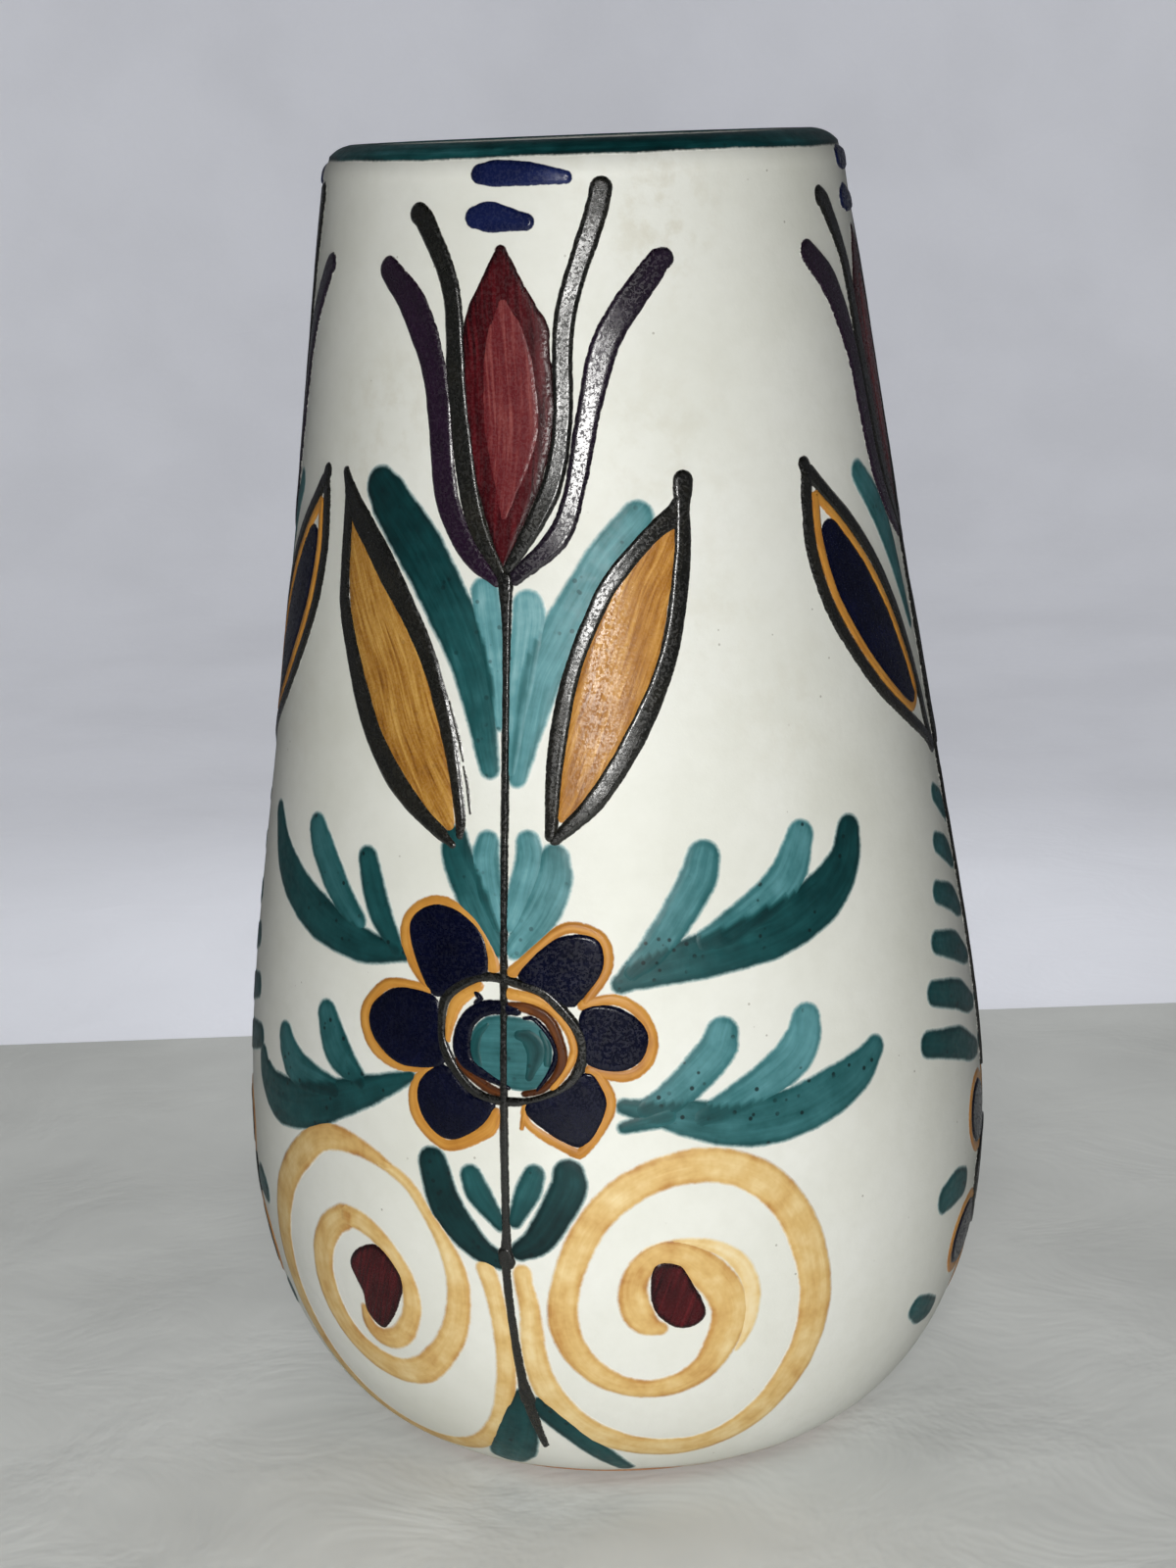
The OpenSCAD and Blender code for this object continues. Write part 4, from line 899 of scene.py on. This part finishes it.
class Panel:
    """One painted side. The panels that the painter repeats come out a little different each time."""

    def __init__(self, turn, loose):
        self.turn, self.loose = turn, loose
        self.hand = np.random.default_rng(1000 + turn)

    def slip(self):
        """How far a stroke lands from its place (degrees, percent of the height) and how much wider it is."""
        if not self.loose:
            return STILL
        h = self.hand
        return (h.normal(0, 0.3), h.normal(0, 0.12), 1 + h.normal(0, 0.03))

    def placed(self, places, slip):
        """The places in degrees round the vase, millimetres up and millimetres wide, slip and all."""
        aside, above, wider = slip or self.slip()
        return [(x + self.turn + aside, (y + above) * HIGH / 100, w * wider) for x, y, w in places]

    def stroke(self, node, places, load, tone=0.0, lift=0.0, loop=False, slip=None):
        lay[node].stroke(self.placed(places, slip), load, tone, lift, loop, self.turn)

    def strokes(self, node, rows, **more):
        """Strokes that each have their own load, and their own tone if the row gives one."""
        for row in rows:
            self.stroke(node, *row, **more)

    def lines(self, node, lines, load, **more):
        """Strokes that share one load of paint."""
        for places in lines:
            self.stroke(node, places, load, **more)

    def blob(self, node, places, load, lean=0.0, grow=0.0, slip=None):
        lay[node].blob(self.placed([(x, y, 0) for x, y in places], slip), load, lean, grow, self.turn)


def tulip(p):
    # The dashes take in some of the navy's lighter blue: partly their own paint, partly a painted sheen of lamp glare.
    p.strokes("navy_dashes", DASHES, tone=0.45)
    slip = p.slip()
    p.stroke("tulip_petals", TULIP, (0.78, 0.72), slip=slip)
    p.stroke("tulip_petals", TULIP_LIGHT, (0.46, 0.52), 1, lift=-0.04, slip=slip)
    p.strokes("outer_sepals", OUTER_SEPALS, slip=slip)
    p.strokes("inner_sepals", INNER_SEPALS, slip=slip)


def tulip_panel(p):
    tulip(p)
    p.stroke("stems", STEM, (0.7, 0.8), slip=STILL)
    p.lines("stems", KNOTS, (0.8, 0.8), lift=0.03, slip=STILL)
    p.strokes("tulip_leaves", UPPER_LEAVES + FAN)
    for outline, fill, tone in ((LEFT_OUTLINE, LEFT_FILL, 0.1), (RIGHT_OUTLINE, RIGHT_FILL, 0.5)):
        slip = p.slip()
        p.stroke("ochre_leaves", fill, (0.5, 0.56), tone, slip=slip)
        p.lines("leaf_outlines", outline, (0.7, 0.6), slip=slip)
    p.lines("leaf_outlines", LEAF_SCRATCHES, (0.4, 0.5), lift=-0.25)
    p.strokes("side_sprigs", LEFT_SPRIGS + RIGHT_SPRIGS)
    p.strokes("small_leaves", SMALL_LEAVES)
    for scroll, heart in ((LEFT_SCROLL, LEFT_HEART), (RIGHT_SCROLL, RIGHT_HEART)):
        slip = p.slip()
        p.lines("scrolls", scroll, (0.42, 0.56), slip=slip)
        p.blob("scroll_hearts", heart, 0.8, lean=70, slip=slip)
    p.stroke("scrolls", PALE_WASH, (0.2, 0.16), lift=-0.03)
    slip = p.slip()
    for i, places in enumerate(PETALS):
        p.blob("flower_petals", places, 0.72, lean=60 * i, grow=0.45, slip=slip)
    p.lines("petal_borders", PETAL_LINES, (0.36, 0.46), slip=slip)
    for places, load, tone in BANDS:
        p.stroke("flower_bands", places, load, tone, 0.05 * tone, slip=slip)
    p.stroke("flower_rings", RING, (0.7, 0.7), loop=True, slip=slip)
    p.lines("flower_eye_rings", EYE_RINGS, (0.75, 0.8), slip=slip)
    p.blob("flower_eyes", EYE, 0.48, slip=slip)
    p.lines("flower_eyes", EYE_MARKS, (0.62, 0.66), slip=slip)


LEAF_LINE, BORDER_LINE, BORDER_IN, FILL_IN = 2.5, 1.7, 3.3, 3.8     # lines and insets of the blue leaves, in mm
RUNGS = 6     # of the fern, on each side of its stem


def blue_panel(p):
    tulip(p)
    p.stroke("stems", BLUE_STEM, (0.7, 0.8), slip=STILL)
    p.stroke("stems", TOP_KNOT, (0.8, 0.8), lift=0.03, slip=STILL)
    for flip in (lambda q: q, mirrored):
        slip = p.slip()
        leaf = flip(BLUE_LEAF)
        fill = [(x, y, w - 2 * FILL_IN) for x, y, w in leaf if w > 2 * FILL_IN + 0.8]
        border = rim_of([q for q in leaf if q[2] > 2 * BORDER_IN], BORDER_IN, BORDER_LINE)
        p.stroke("blue_leaves", fill, (0.7, 0.6), slip=slip)
        p.stroke("blue_leaf_borders", border, (0.4, 0.45), loop=True, slip=slip)
        p.stroke("leaf_outlines", rim_of(leaf, LEAF_LINE / 2, LEAF_LINE), (0.7, 0.65), loop=True, slip=slip)
        x, y, _ = leaf[0]
        p.stroke("leaf_outlines", [(x * 1.02, y + 0.6, 2.6), (x, y - 0.3, 2.2)], (0.75, 0.7), slip=slip)
        p.stroke("tulip_leaves", flip(BLUE_TEAL), (0.45, 0.5))
        for k in range(RUNGS):
            x0, y0, fall = -7.2 - 3.4 * k, 50.6 - 3.45 * k, 2.4 + 0.3 * k
            w = 3.8 + 0.24 * k
            rung = [(x0, y0, 0.8 * w), (0.55 * x0, y0 - 0.4 * fall, w), (0.3 * x0, y0 - 0.75 * fall, 0.85 * w),
                    (-1.5, y0 - fall, 0.45 * w)]
            p.stroke("fern_strokes", flip(rung), (0.5 + 0.04 * k, 0.62))
    p.lines("small_leaves", BLUE_DABS, (0.6, 0.66))
    slip = p.slip()
    x, y = BLUE_EYE
    for i, o in enumerate(BLUE_PETALS):
        p.blob("flower_petals", oval(*o), 0.72, lean=72 * i, slip=slip)
        p.stroke("petal_borders", [(u, v, 1.6) for u, v in oval(*o, grow=0.75)], (0.42, 0.5), loop=True, slip=slip)
    p.stroke("flower_bands", ring(x, y, 14.2, 2.2), (0.35, 0.45), loop=True, slip=slip)
    p.stroke("flower_rings", ring(x, y, 17.4, 1.7), (0.7, 0.7), loop=True, lift=0.05, slip=slip)
    p.stroke("flower_eye_rings", ring(x, y, 9.6, 2.2), (0.75, 0.8), loop=True, slip=slip)
    p.blob("flower_eyes", oval(x, y, 8, 7.6, 0), 0.5, slip=slip)


for turn, loose, painted in ((FRONT, False, tulip_panel), (BACK, True, tulip_panel),
                             (RIGHT, False, blue_panel), (LEFT, True, blue_panel)):
    painted(Panel(turn, loose))

for node, enamel in lay.items():
    slot, look = PAINTS[node][:2]
    enamel.piece(node + "_paint", node, slot, material[look])


# ---------------------------------------------------------------- camera, floor and light

H_M = HIGH * UNIT
AWAY, EYE_UP = 2.1135, 1.0175     # the camera's distance and height, in heights of the vase
PITCH, YAW, ROLL, ROUND = np.radians([13.72, -0.385, -2.193, 16.06]).tolist()
view = Vector((math.sin(YAW) * math.cos(PITCH), math.cos(YAW) * math.cos(PITCH), -math.sin(PITCH)))
right = Vector((math.cos(YAW), -math.sin(YAW), 0))
up = right.cross(view)
right, up = (math.cos(ROLL) * right + math.sin(ROLL) * up, math.cos(ROLL) * up - math.sin(ROLL) * right)
axes = Matrix((right, up, -view)).transposed().to_4x4()
camera = new_object("camera", bpy.data.cameras.new("camera"))
camera.data.sensor_width, camera.data.lens = 36.0, 63.0
swing = Matrix.Rotation(ROUND, 4, "Z")
camera.matrix_world = swing @ Matrix.Translation((0, -AWAY * H_M, EYE_UP * H_M)) @ axes
bpy.context.scene.camera = camera


def stage_material(name, colour, cloud, glow):
    s = Shader(name)
    soft = s.noise(s.place, 0.012, 3, 0.55)
    fine = s.noise(s.place, 0.6, 2, 0.5)
    tint = s.mix(s.span(soft, 0.35, 0.7, 0, cloud), srgb(*colour), srgb(*[0.92 * c for c in colour]))
    seen = s.node("ShaderNodeLightPath").outputs["Is Camera Ray"]
    s.put(s.bsdf.inputs["Emission Color"], tint)
    s.put(s.bsdf.inputs["Emission Strength"], s.times(seen, glow))
    folds = s.noise(s.place, 0.03, 4, 0.6, 0.6)
    return s.finish(tint, s.span(fine, 0.3, 0.7, 0.75, 0.9), s.bump(folds, 0.5, 3.0), gloss=0.1)


def stage_piece(name, verts, faces, look, smooth=False):
    mesh = bpy.data.meshes.new(name)
    mesh.from_pydata(verts, [], faces)
    mesh.polygons.foreach_set("use_smooth", [smooth] * len(faces))
    mesh.materials.append(look)
    o = new_object(name, mesh)


def sweep():
    """A round floor that curves up into a wall on every side, far from the vase."""
    flat, bend, tall, low = 0.8, 0.25, 1.3, -0.012
    path = [(0.0, low)] + [(flat * k, low) for k in (0.3, 0.6, 0.85, 1)]
    path += [(flat + bend * math.sin(a), low + bend * (1 - math.cos(a))) for a in np.radians(np.linspace(9, 90, 10))]
    path += [(flat + bend, low + bend + k * tall) for k in (0.3, 0.65, 1.0)]
    n = 96
    turns = [2 * math.pi * i / n for i in range(n)]
    verts = [(r * math.cos(a), r * math.sin(a), z) for r, z in path for a in turns]
    faces = [tuple(map(int, face)) for face in ring_faces(np.arange(len(verts)).reshape(-1, n))]
    stage_piece("backdrop", verts, faces, stage_material("pale_backdrop", (214, 216, 223), 0.35, 0.6), True)


def table():
    """The table top under the vase, whose far edge crosses the view behind it."""
    far, wide, near, low = 0.187, 0.75, -0.72, -0.012
    corners = (-wide, near), (wide, near), (wide, far), (-wide, far)
    verts = [swing @ Vector((x, y, z)) for z in (0.0, low) for x, y in corners]
    faces = [(0, 1, 2, 3), (7, 6, 5, 4)] + [(i, i + 4, (i + 1) % 4 + 4, (i + 1) % 4) for i in range(4)]
    stage_piece("table", verts, faces, stage_material("pale_paper", (214, 216, 213), 0.9, 0.24))


sweep()
table()


def lamp(name, where, at, size, watts, colour, mirrored=False):
    light = bpy.data.lights.new(name, "AREA")
    light.shape, light.size, light.energy, light.color = "DISK", size, watts, colour
    o = new_object(name, light)
    o.location = where
    o.rotation_euler = (Vector(at) - Vector(where)).to_track_quat("-Z", "Y").to_euler()
    o.visible_glossy = mirrored


middle = Vector((0, 0, 0.5 * H_M))
lamp("key", camera.matrix_world @ Vector((-0.016, 0.0, 0.1)), middle, 0.12, 0.98, (1.0, 0.99, 0.965), True)
lamp("low", swing @ Vector((0.0, -0.4, 0.05)), Vector((0, 0, 0.05)), 0.26, 0.98, (1.0, 0.995, 0.975))
lamp("back", swing @ Vector((0.0, 0.36, 0.24)), middle, 0.3, 0.34, (0.98, 0.99, 1.0))
lamp("above", Vector((0, 0, 0.75)), middle, 0.3, 0.4, (1.0, 1.0, 1.0))
world = bpy.data.worlds.new("studio")
bpy.context.scene.world = world
world.use_nodes = True
sky = world.node_tree.nodes["Background"].inputs
sky["Color"].default_value, sky["Strength"].default_value = (0.95, 0.97, 1.0, 1), 0.005
bpy.context.scene.view_settings.view_transform = "Standard"
